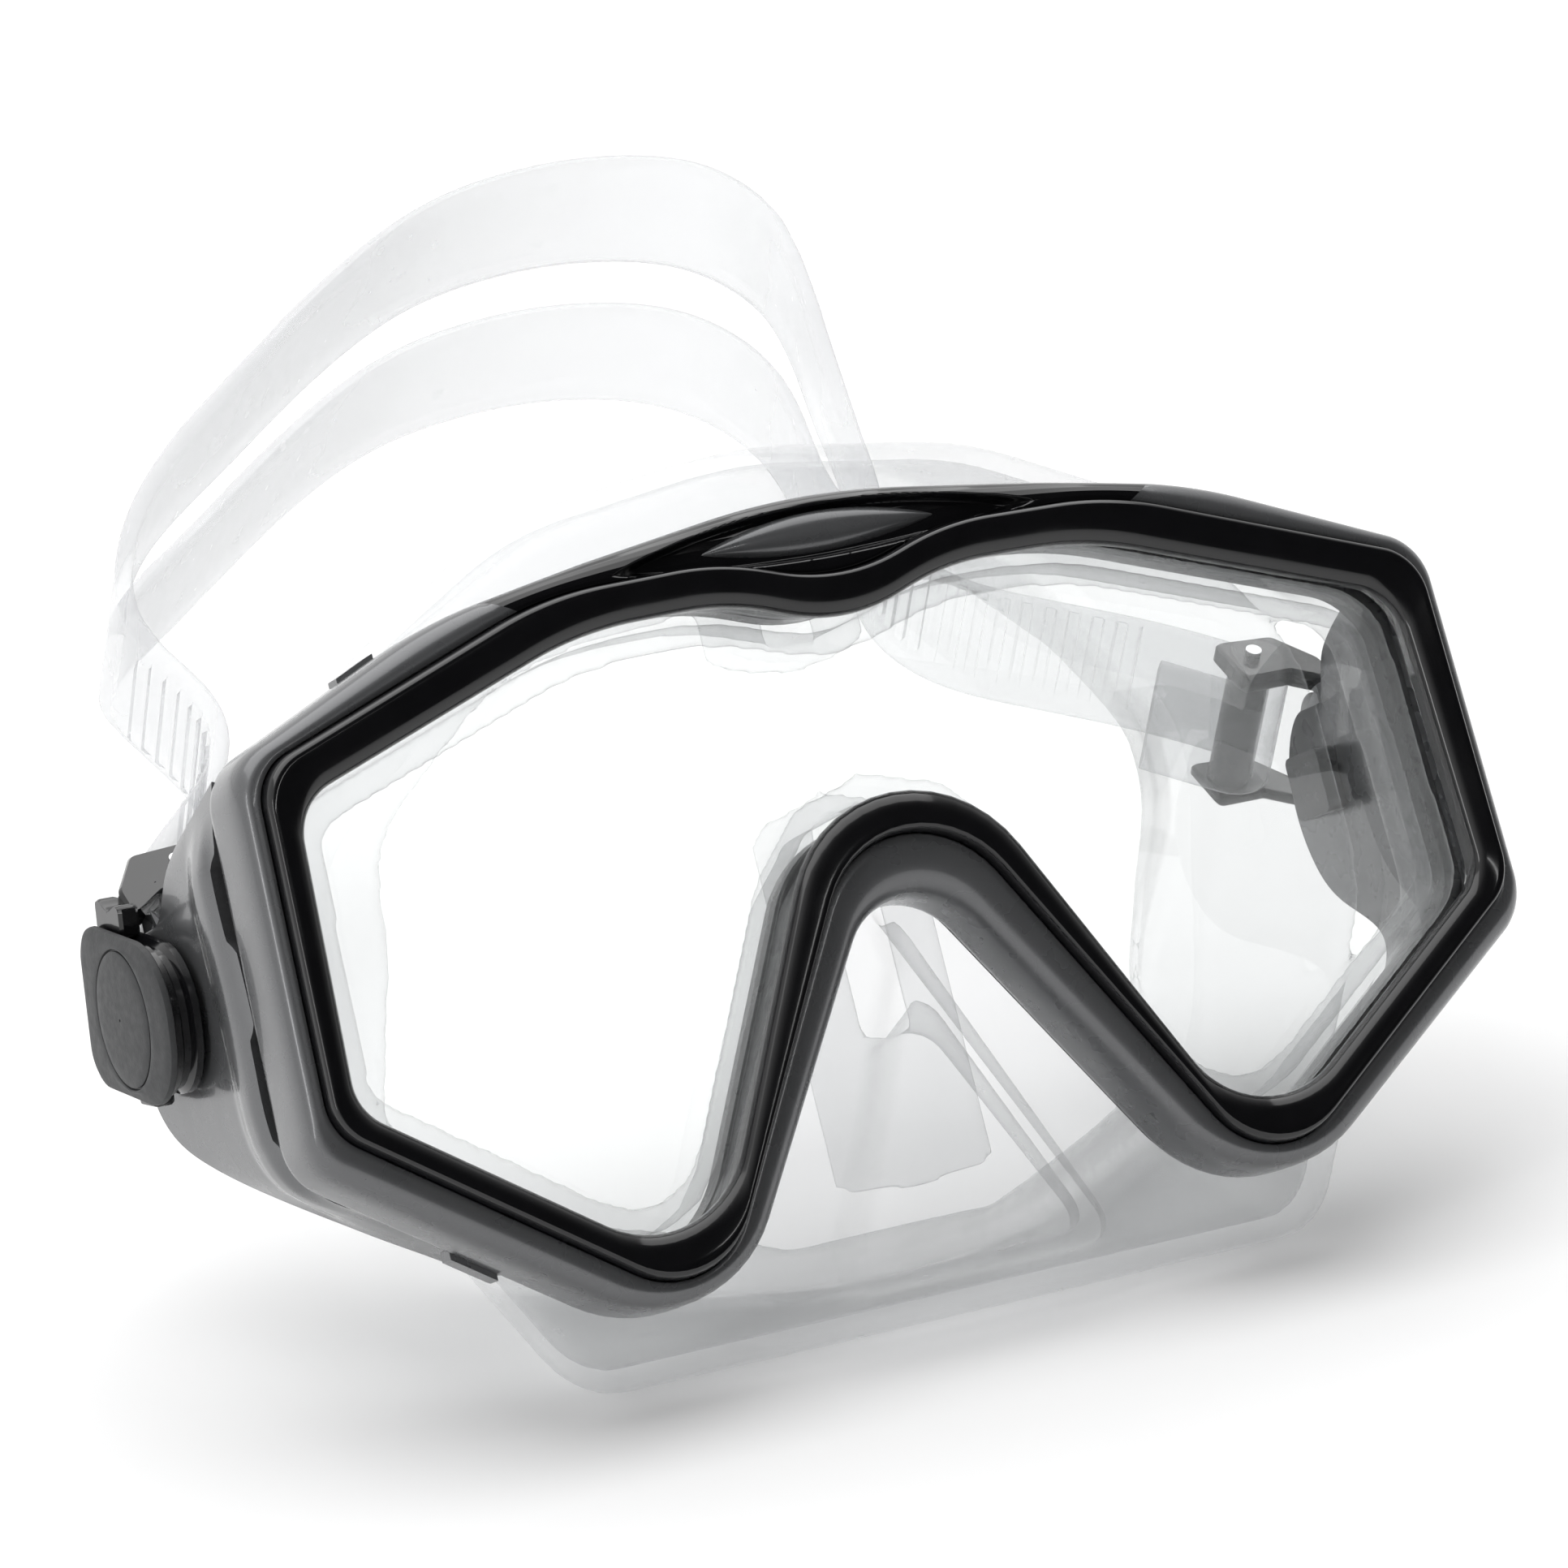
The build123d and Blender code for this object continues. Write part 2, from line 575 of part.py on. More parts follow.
leave = Vector(-sin(radians(STRAP_LEAVE)), cos(radians(STRAP_LEAVE)))
across = Vector(cos(radians(STRAP_LEAVE)), sin(radians(STRAP_LEAVE)))
roller = Vector(ROLLER_X, ROLLER_BACK)
main_end = roller + across * WRAP_RADIUS
wrap_middle = roller - leave * WRAP_RADIUS
tail_start = roller - across * WRAP_RADIUS
tail_end = tail_start + leave * TAIL_LENGTH


def keep(point):
    return point


def flip(point):
    return Vector(-point.X, point.Y)


with BuildLine() as loop_line:
    loop_curve = Spline(
        flip(main_end), flip(main_end + leave * LEAVE_LENGTH), *LOOP,
        main_end + leave * LEAVE_LENGTH, main_end,
    )


def beside_loop(shift):
    """Points along the loop, moved sideways by shift, that start and end on the two wraps."""
    fractions = [step / LOOP_STEPS for step in range(1, LOOP_STEPS)]
    tangents = [loop_curve % fraction for fraction in fractions]
    points = [loop_curve @ f + Vector(-t.Y, t.X) * shift for f, t in zip(fractions, tangents)]
    return [flip(main_end + across * shift), *points, main_end + across * shift]


with BuildPart() as strap:
    with BuildSketch(strap_plane.offset(BAND_BOTTOM)):
        with BuildLine():
            for shift in (HALF_STRAP, -HALF_STRAP):
                Spline(*beside_loop(shift))
                for turn in (keep, flip):
                    ThreePointArc(
                        turn(main_end + across * shift),
                        turn(wrap_middle - leave * shift),
                        turn(tail_start - across * shift),
                    )
                    Line(turn(tail_start - across * shift), turn(tail_end - across * shift))
            for turn in (keep, flip):
                Line(turn(tail_end - across * HALF_STRAP), turn(tail_end + across * HALF_STRAP))
        make_face()
    extrude(amount=BAND_TOP - BAND_BOTTOM)
    with BuildSketch(buckle_side(-BEYOND)):
        with BuildLine():
            half = STRAP_END_WIDTH / 2
            Polyline((0, -half), (0, half), (BAND_START, half))
            Spline((BAND_START, half), (BAND_EASE, BAND_EASE_TOP), (BAND_FULL, BAND_TOP),
                   tangents=((1, 0.05), (1, 0)))
            Polyline((BAND_FULL, BAND_TOP), (LOOP_BACK, BAND_TOP), (LOOP_BACK, BAND_BOTTOM),
                     (BAND_FULL, BAND_BOTTOM))
            Spline((BAND_FULL, BAND_BOTTOM), (BAND_EASE, BAND_EASE_BOTTOM), (BAND_START, -half),
                   tangents=((-1, 0), (-1, 0.05)))
            Line((BAND_START, -half), (0, -half))
        make_face()
    extrude(amount=2 * BEYOND, mode=Mode.INTERSECT)
    with BuildSketch(buckle_side(0)):
        with BuildLine():
            Spline((SLOT_START, SLOT_MIDDLE), (SLOT_EASE, SLOT_TOP - 1), (SLOT_FULL, SLOT_TOP),
                   tangents=((0, 1), (1, 0)))
            Polyline((SLOT_FULL, SLOT_TOP), (LOOP_BACK, SLOT_TOP), (LOOP_BACK, SLOT_BOTTOM),
                     (SLOT_FULL, SLOT_BOTTOM))
            Spline((SLOT_FULL, SLOT_BOTTOM), (SLOT_EASE, SLOT_BOTTOM + 1), (SLOT_START, SLOT_MIDDLE),
                   tangents=((-1, 0), (0, 1)))
        make_face()
    extrude(amount=BEYOND, both=True, mode=Mode.SUBTRACT)
strap.part.label = "strap"
export_step(strap.part, "parts/strap.step")
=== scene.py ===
"""Diving mask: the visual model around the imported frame, with its materials, floor, light and camera."""
from math import atan2, cos, pi, radians, sin, sqrt, tan

import bmesh
import bpy
import numpy as np
from mathutils import Matrix, Vector


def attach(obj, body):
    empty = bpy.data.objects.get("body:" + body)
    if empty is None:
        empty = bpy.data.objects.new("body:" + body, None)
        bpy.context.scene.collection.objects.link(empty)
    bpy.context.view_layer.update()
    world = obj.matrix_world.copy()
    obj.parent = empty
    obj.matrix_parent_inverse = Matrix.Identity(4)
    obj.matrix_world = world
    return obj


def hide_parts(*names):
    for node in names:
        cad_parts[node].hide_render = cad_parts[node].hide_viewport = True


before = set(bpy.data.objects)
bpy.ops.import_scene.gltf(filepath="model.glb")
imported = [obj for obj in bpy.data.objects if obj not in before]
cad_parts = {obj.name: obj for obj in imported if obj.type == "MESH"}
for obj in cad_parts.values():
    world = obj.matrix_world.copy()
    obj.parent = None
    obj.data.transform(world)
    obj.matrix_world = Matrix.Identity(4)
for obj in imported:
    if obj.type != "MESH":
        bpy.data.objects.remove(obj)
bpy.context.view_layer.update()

# ---- The frame's own dimensions, in millimetres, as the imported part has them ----
LENS_Y = -68.53
LENS_Z = 54.88
COS_TILT, SIN_TILT = cos(radians(30.5)), sin(radians(30.5))
COS_PITCH, SIN_PITCH = cos(radians(16)), sin(radians(16))
PIVOT_DEPTH = 34.2
PIVOT_Y = LENS_Y + PIVOT_DEPTH * COS_TILT
PIVOT_Z = LENS_Z - PIVOT_DEPTH * SIN_TILT


def local(x, u, v):
    """Mask coordinates (across, back from the glass, up the lens) to the row frame, in metres."""
    x, u, v = np.broadcast_arrays(np.asarray(x, float), u, v)
    y = u * COS_TILT + v * SIN_TILT + LENS_Y
    z = v * COS_TILT - u * SIN_TILT + LENS_Z
    return np.stack([x, y, z], -1) / 1000


def along_strap(x, s, h):
    """Strap coordinates (across, back along the strap, across its width) to the row frame, in metres."""
    x, s, h = np.broadcast_arrays(np.asarray(x, float), s, h)
    y = PIVOT_Y + s * COS_PITCH - h * SIN_PITCH
    z = PIVOT_Z + s * SIN_PITCH + h * COS_PITCH
    return np.stack([x, y, z], -1) / 1000


def smooth(t):
    t = np.clip(t, 0, 1)
    return t * t * (3 - 2 * t)


def mirrored(points):
    """An outline's +X half and its mirror image, as one closed outline."""
    return points + [(-x, y) for x, y in reversed(points) if x > 0]


def mirrored_radii(points, radii):
    return radii + [r for (x, _), r in reversed(list(zip(points, radii))) if x > 0]


ARC_STEPS = 14
LINE_STEPS = 12
CORNER_POINTS = ARC_STEPS + LINE_STEPS       # the points of one rounded corner and the line after it


def rounded(points, radii, arc=ARC_STEPS, line=LINE_STEPS):
    """A closed outline with rounded corners, with as many points for any outline of that many corners."""
    p = np.array(mirrored(points), float)
    r = mirrored_radii(points, radii)
    arcs = []
    for i in range(len(p)):
        a = p[i - 1] - p[i]
        b = p[(i + 1) % len(p)] - p[i]
        a /= np.linalg.norm(a)
        b /= np.linalg.norm(b)
        half = np.arccos(np.clip(a @ b, -1, 1)) / 2
        centre = p[i] + (a + b) / np.linalg.norm(a + b) * r[i] / sin(half)
        first = p[i] + a * r[i] / tan(half) - centre
        last = p[i] + b * r[i] / tan(half) - centre
        start = atan2(first[1], first[0])
        turn = (atan2(last[1], last[0]) - start + pi) % (2 * pi) - pi
        t = start + turn * np.linspace(0, 1, arc + 1)
        arcs.append(centre + r[i] * np.stack([np.cos(t), np.sin(t)], 1))
    out = []
    w = np.linspace(0, 1, line + 1)[1:-1, None]
    for i in range(len(p)):
        out.append(arcs[i])
        out.append(arcs[i][-1] * (1 - w) + arcs[(i + 1) % len(p)][0] * w)
    return np.concatenate(out)


OPENING = [(0, 25.4), (14.5, 30.4), (33, 30.2), (71.7, 17.0), (73.3, -17.7), (35.9, -44.1), (0, 24.7)]
OPENING_RADII = [22, 32, 45, 7, 6, 12.5, 16.5]
RING_EDGE = [(0, 30.6), (15, 35.4), (37, 35.0), (75.7, 21.4), (76.9, -19.6), (36.5, -48.2), (0, 12.7)]
RING_EDGE_RADII = [25, 35, 45, 6.5, 6.5, 10, 12.9]
OUTER_EDGE = [(0, 42.7), (30, 38.4), (50, 34.9), (78.2, 22.8), (79.6, -23.0), (35.7, -53.2), (0, 1.4)]
OUTER_EDGE_RADII = [90, 90, 60, 7, 7, 16.6, 9.5]
opening = rounded(OPENING, OPENING_RADII)
ring_edge = rounded(RING_EDGE, RING_EDGE_RADII)
outer_edge = rounded(OUTER_EDGE, OUTER_EDGE_RADII)


# ---- Mesh helpers ----
def loft(rows, close_rows=False, close_columns=True):
    """Vertices and quads of a surface through rows of points."""
    n, k = len(rows), len(rows[0])
    faces = []
    for i in range(n if close_rows else n - 1):
        for j in range(k if close_columns else k - 1):
            a, b = i * k + j, i * k + (j + 1) % k
            c, d = ((i + 1) % n) * k + (j + 1) % k, ((i + 1) % n) * k + j
            faces.append((a, b, c, d))
    return np.concatenate(rows), faces


def make(name, verts, faces, body, slot, material, replaces=(), sharp=35):
    """A mesh object that rides on a body, takes a material slot and stands for CAD nodes."""
    mesh = bpy.data.meshes.new(name)
    mesh.from_pydata([tuple(v) for v in np.asarray(verts, float)], [], [tuple(map(int, f)) for f in faces])
    mesh.validate()
    obj = bpy.data.objects.new(name, mesh)
    bpy.context.scene.collection.objects.link(obj)
    work = bmesh.new()
    work.from_mesh(mesh)
    bmesh.ops.remove_doubles(work, verts=work.verts, dist=1e-6)
    bmesh.ops.dissolve_degenerate(work, edges=work.edges, dist=1e-6)
    bmesh.ops.recalc_face_normals(work, faces=work.faces)
    work.to_mesh(mesh)
    work.free()
    for polygon in mesh.polygons:
        polygon.use_smooth = True
    if sharp:
        mesh.set_sharp_from_angle(angle=radians(sharp))
    mesh.materials.append(material)
    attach(obj, body)
    if replaces:
        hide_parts(*replaces)
    return obj


# ---- Materials ----
def new_material(name, **values):
    material = bpy.data.materials.new(name)
    material.use_nodes = True
    shader = material.node_tree.nodes["Principled BSDF"]
    for key, value in values.items():
        shader.inputs[key.replace("_", " ")].default_value = value
    return material, material.node_tree, shader


def noise(tree, scale, detail=4.0, roughness=0.5):
    place = tree.nodes.new("ShaderNodeTexCoord")
    node = tree.nodes.new("ShaderNodeTexNoise")
    node.inputs["Scale"].default_value = scale
    node.inputs["Detail"].default_value = detail
    node.inputs["Roughness"].default_value = roughness
    tree.links.new(place.outputs["Object"], node.inputs["Vector"])
    return node.outputs["Fac"]


def spread(tree, value, low, high):
    """A noise value's middle range, spread from low to high."""
    node = tree.nodes.new("ShaderNodeMapRange")
    node.inputs["From Min"].default_value = 0.3
    node.inputs["From Max"].default_value = 0.7
    node.inputs["To Min"].default_value = low
    node.inputs["To Max"].default_value = high
    tree.links.new(value, node.inputs["Value"])
    return node.outputs["Result"]


def bump(tree, shader, height, strength, distance):
    node = tree.nodes.new("ShaderNodeBump")
    node.inputs["Strength"].default_value = strength
    node.inputs["Distance"].default_value = distance
    tree.links.new(height, node.inputs["Height"])
    tree.links.new(node.outputs["Normal"], shader.inputs["Normal"])


def tint(tree, shader, value, dark, light):
    node = tree.nodes.new("ShaderNodeMix")
    node.data_type = "RGBA"
    node.inputs["A"].default_value = (*dark, 1)
    node.inputs["B"].default_value = (*light, 1)
    tree.links.new(value, node.inputs["Factor"])
    tree.links.new(node.outputs["Result"], shader.inputs["Base Color"])


def gloss_black():
    material, tree, shader = new_material(
        "gloss_black", IOR=1.45, Coat_Weight=0.25, Coat_Roughness=0.03
    )
    tint(tree, shader, noise(tree, 300), (0.003, 0.003, 0.0035), (0.006, 0.006, 0.007))
    tree.links.new(spread(tree, noise(tree, 90), 0.09, 0.18), shader.inputs["Roughness"])
    bump(tree, shader, noise(tree, 140, 2), 0.04, 0.0004)
    return material


def metallic_grey():
    material, tree, shader = new_material(
        "metallic_grey", Metallic=0.45, Coat_Weight=0.5, Coat_Roughness=0.06, IOR=1.45
    )
    tint(tree, shader, noise(tree, 4200, 1), (0.108, 0.110, 0.114), (0.122, 0.124, 0.128))
    tree.links.new(spread(tree, noise(tree, 300, 2), 0.25, 0.31), shader.inputs["Roughness"])
    bump(tree, shader, noise(tree, 120, 2), 0.03, 0.0004)
    return material


def matte_grey():
    material, tree, shader = new_material("matte_grey", IOR=1.4)
    tint(tree, shader, noise(tree, 1500, 3), (0.030, 0.031, 0.032), (0.044, 0.045, 0.047))
    tree.links.new(spread(tree, noise(tree, 900), 0.5, 0.62), shader.inputs["Roughness"])
    bump(tree, shader, noise(tree, 3200, 3), 0.3, 0.0001)
    return material


def dark_plastic():
    material, tree, shader = new_material("dark_plastic", IOR=1.45)
    tint(tree, shader, noise(tree, 900, 3), (0.014, 0.014, 0.015), (0.024, 0.024, 0.026))
    tree.links.new(spread(tree, noise(tree, 500), 0.24, 0.38), shader.inputs["Roughness"])
    bump(tree, shader, noise(tree, 2400, 2), 0.12, 0.0001)
    return material


def see_through(tree, shader, colour, front, edge):
    """Lets light straight through, with more of the shader's own gloss and body towards the edges."""
    clear = tree.nodes.new("ShaderNodeBsdfTransparent")
    clear.inputs["Color"].default_value = (*colour, 1)
    angle = tree.nodes.new("ShaderNodeLayerWeight")
    angle.inputs["Blend"].default_value = 0.35
    amount = tree.nodes.new("ShaderNodeMapRange")
    amount.interpolation_type = "SMOOTHSTEP"
    amount.inputs["From Min"].default_value = 0.1
    amount.inputs["To Min"].default_value = front
    amount.inputs["To Max"].default_value = edge
    mix = tree.nodes.new("ShaderNodeMixShader")
    output = tree.nodes["Material Output"]
    tree.links.new(angle.outputs["Facing"], amount.inputs["Value"])
    tree.links.new(amount.outputs["Result"], mix.inputs["Fac"])
    tree.links.new(clear.outputs["BSDF"], mix.inputs[1])
    tree.links.new(shader.outputs["BSDF"], mix.inputs[2])
    tree.links.new(mix.outputs["Shader"], output.inputs["Surface"])


def clear_glass():
    material, tree, shader = new_material(
        "clear_glass", Roughness=0.02, Transmission_Weight=1.0, IOR=1.45, Base_Color=(0.98, 0.99, 0.985, 1)
    )
    see_through(tree, shader, (0.985, 0.99, 0.988), 0.08, 0.6)
    bump(tree, shader, noise(tree, 25, 1), 0.004, 0.0005)
    return material


def clear_silicone(name, colour, front, edge):
    material, tree, shader = new_material(name, IOR=1.41, Transmission_Weight=0.15)
    tint(tree, shader, noise(tree, 60, 3), (0.72, 0.725, 0.73), (0.80, 0.805, 0.81))
    tree.links.new(spread(tree, noise(tree, 260, 3), 0.16, 0.28), shader.inputs["Roughness"])
    bump(tree, shader, noise(tree, 45, 2), 0.05, 0.0004)
    see_through(tree, shader, colour, front, edge)
    return material


def steel():
    material, tree, shader = new_material("steel", Metallic=1.0, Base_Color=(0.6, 0.6, 0.61, 1))
    tree.links.new(spread(tree, noise(tree, 1800, 3), 0.2, 0.34), shader.inputs["Roughness"])
    bump(tree, shader, noise(tree, 2600, 2), 0.1, 0.00005)
    return material


BLACK = gloss_black()
GREY = metallic_grey()
MATTE = matte_grey()
DARK = dark_plastic()
GLASS = clear_glass()
SKIRT_SILICONE = clear_silicone("skirt_silicone", (0.968, 0.970, 0.972), 0.07, 0.5)
STRAP_SILICONE = clear_silicone("strap_silicone", (0.925, 0.928, 0.932), 0.13, 0.66)
STEEL = steel()

SIDES = (("right", 1), ("left", -1))
cad_looks = {"lens": GLASS, "inner_frame": DARK, "frame_clips": GREY}
for side, _ in SIDES:
    cad_looks.update({
        f"pivot_pin_{side}": DARK, f"tab_spring_{side}": STEEL, f"strap_roller_{side}": DARK,
        f"roller_pin_{side}": STEEL,
    })
for node, material in cad_looks.items():
    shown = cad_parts[node]
    shown.data.materials.clear()
    shown.data.materials.append(material)


# ---- Retainer ring: a rounded gloss band round the glass ----
def between(first, second, t, u):
    """A row of points a share t of the way between two outlines, at depth u."""
    p = first + (second - first) * t
    return local(p[:, 0], u, p[:, 1])


RING_PROFILE = [
    (0.0, 0.05), (0.0, -0.5), (0.02, -0.95), (0.07, -1.35), (0.16, -1.7), (0.3, -2.0), (0.47, -2.25),
    (0.64, -2.42), (0.77, -2.5), (0.84, -2.46), (0.89, -2.3), (0.93, -1.95), (0.96, -1.45),
    (0.98, -0.8), (0.985, -0.2), (0.985, 3.8), (0.4, 3.8), (0.4, 0.05),
]
ring_rows = [between(opening, ring_edge, t, u) for t, u in RING_PROFILE]
make("retainer_ring", *loft(ring_rows, close_rows=True), "mask", "gloss_black", BLACK,
     ["inner_ring"], sharp=50)

# ---- Front frame: the grey band, open at the top for the bridge ----
BAND_PROFILE = [
    (0.0, -0.2), (0.012, -0.42), (0.05, -0.55), (0.2, -0.6), (0.42, -0.5), (0.6, -0.22), (0.74, 0.2),
    (0.85, 0.8), (0.92, 1.5), (0.965, 2.4), (0.99, 3.4), (1.0, 4.6), (1.0, 8.0), (0.985, 8.7),
    (0.94, 9.0), (0.0, 9.0),
]
FOOT_OUTER, FOOT_INNER = 44.0, 40.0     # where the bridge's ends meet the band, across
FOOT_STEPS = 24


def top_height(outline, x):
    """The height of an outline's top edge at x."""
    high = outline[outline[:, 1] > 10]
    high = high[np.argsort(high[:, 0])]
    return np.interp(x, high[:, 0], high[:, 1])


def from_foot(outline, foot, count):
    """The outline from the bridge's foot at +X round the nose to the one at -X."""
    corner = 3 * CORNER_POINTS
    head = outline[:corner]
    head = head[head[:, 0] > foot]
    start = np.array([[foot, top_height(outline, foot)]])
    path = np.concatenate([start, head, outline[corner:corner + 1]])
    run = np.r_[0, np.cumsum(np.linalg.norm(np.diff(path, axis=0), axis=1))]
    s = np.linspace(0, run[-1], count + 1)[:-1]
    first = np.stack([np.interp(s, run, path[:, 0]), np.interp(s, run, path[:, 1])], 1)
    nose = 6 * CORNER_POINTS + ARC_STEPS // 2
    half = np.concatenate([first, outline[corner:nose + 1]])
    left = half[::-1].copy()[1:]
    left[:, 0] *= -1
    return np.concatenate([half, left])


band_inner = from_foot(ring_edge, FOOT_INNER, FOOT_STEPS)
band_outer = from_foot(outer_edge, FOOT_OUTER, FOOT_STEPS)
band_rows = [between(band_inner, band_outer, t, u) for t, u in BAND_PROFILE]


def capped(rows):
    """A closed bar: rows that close on themselves, with flat ends."""
    verts, faces = loft(rows, close_rows=True, close_columns=False)
    k = len(rows[0])
    ends = [[i * k for i in range(len(rows))], [i * k + k - 1 for i in reversed(range(len(rows)))]]
    return verts, faces + ends


make("grey_frame", *capped(band_rows), "mask", "metallic_grey", GREY, ["front_frame"], sharp=50)

# ---- Bridge: the black part of the band, with the eye-shaped recess ----
EYE_HALF = 29.0
EYE_HEIGHT = 3.5
EYE_MIDDLE = 37.0
EYE_DEPTH = 1.9
EYE_DROOP = 0.0015            # how the recess's middle line falls with the square of x
BADGE_HALF = 15.5
BADGE_HEIGHT = 2.45
BADGE_RISE = 0.95
BADGE_BACK = 1.9


def eye_middle(x):
    return EYE_MIDDLE - EYE_DROOP * x ** 2


def eye_depth(x, v):
    """How deep the recess is at a point of the bridge."""
    half = EYE_HEIGHT * (1 - np.clip(np.abs(x) / EYE_HALF, 0, 1) ** 1.9)
    inside = half - np.abs(v - eye_middle(x))
    return EYE_DEPTH * smooth(inside / 0.9) * smooth(half / 1.2)


span = np.linspace(-1, 1, 261)
bridge_inner = np.stack([FOOT_INNER * span, top_height(ring_edge, FOOT_INNER * span)], 1)
bridge_outer = np.stack([FOOT_OUTER * span, top_height(outer_edge, FOOT_OUTER * span)], 1)
profile_t = np.array([t for t, _ in BAND_PROFILE])
profile_u = np.array([u for _, u in BAND_PROFILE])
front_count = 12
fine_t = np.r_[np.linspace(0, 0.05, 4), np.linspace(0.05, 1.0, 60)[1:]]
fine_u = np.interp(fine_t, profile_t[:front_count], profile_u[:front_count])
bridge_rows = []
for t, u in zip(fine_t, fine_u):
    p = bridge_inner + (bridge_outer - bridge_inner) * t
    bridge_rows.append(local(p[:, 0], u + eye_depth(p[:, 0], p[:, 1]), p[:, 1]))
for t, u in BAND_PROFILE[front_count:]:
    bridge_rows.append(between(bridge_inner, bridge_outer, t, u))
make("bridge", *capped(bridge_rows), "mask", "gloss_black", BLACK, ["top_bridge"], sharp=50)

# ---- Badge: a domed grey eye in the recess ----
badge_x = np.linspace(-BADGE_HALF, BADGE_HALF, 81)
badge_half = BADGE_HEIGHT * (1 - (np.abs(badge_x) / 15.6) ** 2.0)
badge_rows = []
for w in np.linspace(-1, 1, 17):
    rise = BADGE_RISE * (1 - abs(w) ** 2.6) * (1 - (np.abs(badge_x) / BADGE_HALF) ** 4)
    badge_rows.append(local(badge_x, 1.45 - rise, eye_middle(badge_x) + badge_half * w))
for w in (1, -1):
    badge_rows.append(local(badge_x, BADGE_BACK, eye_middle(badge_x) + badge_half * w))
make("badge", *loft(badge_rows, close_rows=True, close_columns=False), "mask", "metallic_grey", GREY,
     ["bridge_badge"], sharp=50)


# ---- Arms: a curved panel from the frame's edge back to the pivot ----
def smooth_path(points, count):
    """Evenly spaced points of the natural cubic spline through the given ones."""
    p = np.asarray(points, float)
    s = np.r_[0, np.cumsum(np.linalg.norm(np.diff(p, axis=0), axis=1))]
    n = len(p)
    h = np.diff(s)
    a = np.zeros((n, n))
    b = np.zeros((n, p.shape[1]))
    a[0, 0] = a[-1, -1] = 1
    for i in range(1, n - 1):
        a[i, i - 1], a[i, i], a[i, i + 1] = h[i - 1], 2 * (h[i - 1] + h[i]), h[i]
        b[i] = 6 * ((p[i + 1] - p[i]) / h[i] - (p[i] - p[i - 1]) / h[i - 1])
    m = np.linalg.solve(a, b)
    t = np.linspace(0, s[-1], 20 * count)
    k = np.clip(np.searchsorted(s, t, "right") - 1, 0, n - 2)
    d = (t - s[k])[:, None]
    hk = h[k][:, None]
    q = p[k] + d * ((p[k + 1] - p[k]) / hk - hk * (2 * m[k] + m[k + 1]) / 6)
    q += d ** 2 * m[k] / 2 + d ** 3 * (m[k + 1] - m[k]) / (6 * hk)
    run = np.r_[0, np.cumsum(np.linalg.norm(np.diff(q, axis=0), axis=1))]
    even = np.linspace(0, run[-1], count)
    return np.stack([np.interp(even, run, q[:, i]) for i in range(q.shape[1])], 1)


ARM_FRONT = [(77.0, 9.3, 22.5), (78.4, 9.3, 16), (78.8, 9.3, 3), (79.0, 9.3, -10), (78.8, 9.3, -19),
             (76.5, 9.3, -24.5), (70, 9.3, -29), (62, 9.3, -34.6), (56, 9.3, -38.4)]
ARM_REAR = [(77.6, 23, 17.8), (78.3, 27.2, 14.6), (78.9, 31.0, 10.3), (79.3, 36.0, 9.9), (79.5, 41.0, 7.0),
            (79.5, 43.8, 1.5), (79.5, 44.0, -5), (79.4, 41.5, -11.5), (78.4, 34, -17.5), (74.5, 24, -24),
            (66, 17, -31.5), (57.5, 13.0, -37.8)]
ARM_WALL = 2.2
ARM_POINTS, ARM_SHEETS = 90, 41
ARM_BULGE = 1.1
SLIT_DEPTH = 1.3


def arm_surface():
    """The +X arm's outer surface: rows from the frame's edge back, with two slits and a low bulge."""
    front = smooth_path(ARM_FRONT, ARM_POINTS)
    rear = smooth_path(ARM_REAR, ARM_POINTS)
    slit = smooth((front[:, 2] - 3) / 2) * smooth((15 - front[:, 2]) / 2)
    slit = slit + smooth((-5 - front[:, 2]) / 2) * smooth((front[:, 2] + 20) / 2)
    front[:, 1] += SLIT_DEPTH * slit
    rows = []
    for a in np.linspace(0, 1, ARM_SHEETS):
        p = front * (1 - a) + rear * a
        bulge = smooth((p[:, 1] - 9) / 4) * smooth((19.5 - p[:, 1]) / 5)
        p[:, 0] += ARM_BULGE * bulge * smooth((p[:, 2] + 34) / 10) * smooth((20 - p[:, 2]) / 8)
        rows.append(p)
    return np.array(rows)


def arm(side, sign):
    outer = arm_surface()
    normal = np.cross(np.gradient(outer, axis=0), np.gradient(outer, axis=1))
    normal /= np.linalg.norm(normal, axis=2, keepdims=True) + 1e-9
    normal *= np.sign(normal[..., :1] + 1e-9)
    inner = outer - normal * ARM_WALL
    n, k, _ = outer.shape
    rows = [local(sign * row[:, 0], row[:, 1], row[:, 2]) for row in (*outer, *inner[::-1])]
    verts, faces = loft(rows, close_rows=True, close_columns=False)
    top = [i * k for i in range(2 * n)]
    bottom = [i * k + k - 1 for i in range(2 * n)]
    for edge in (top, bottom):
        for i in range(n - 1):
            faces.append((edge[i], edge[i + 1], edge[2 * n - 2 - i], edge[2 * n - 1 - i]))
    make(f"arm_panel_{side}", verts, faces, "mask", "metallic_grey", GREY, [f"arm_{side}"], sharp=45)


for side, sign in SIDES:
    arm(side, sign)

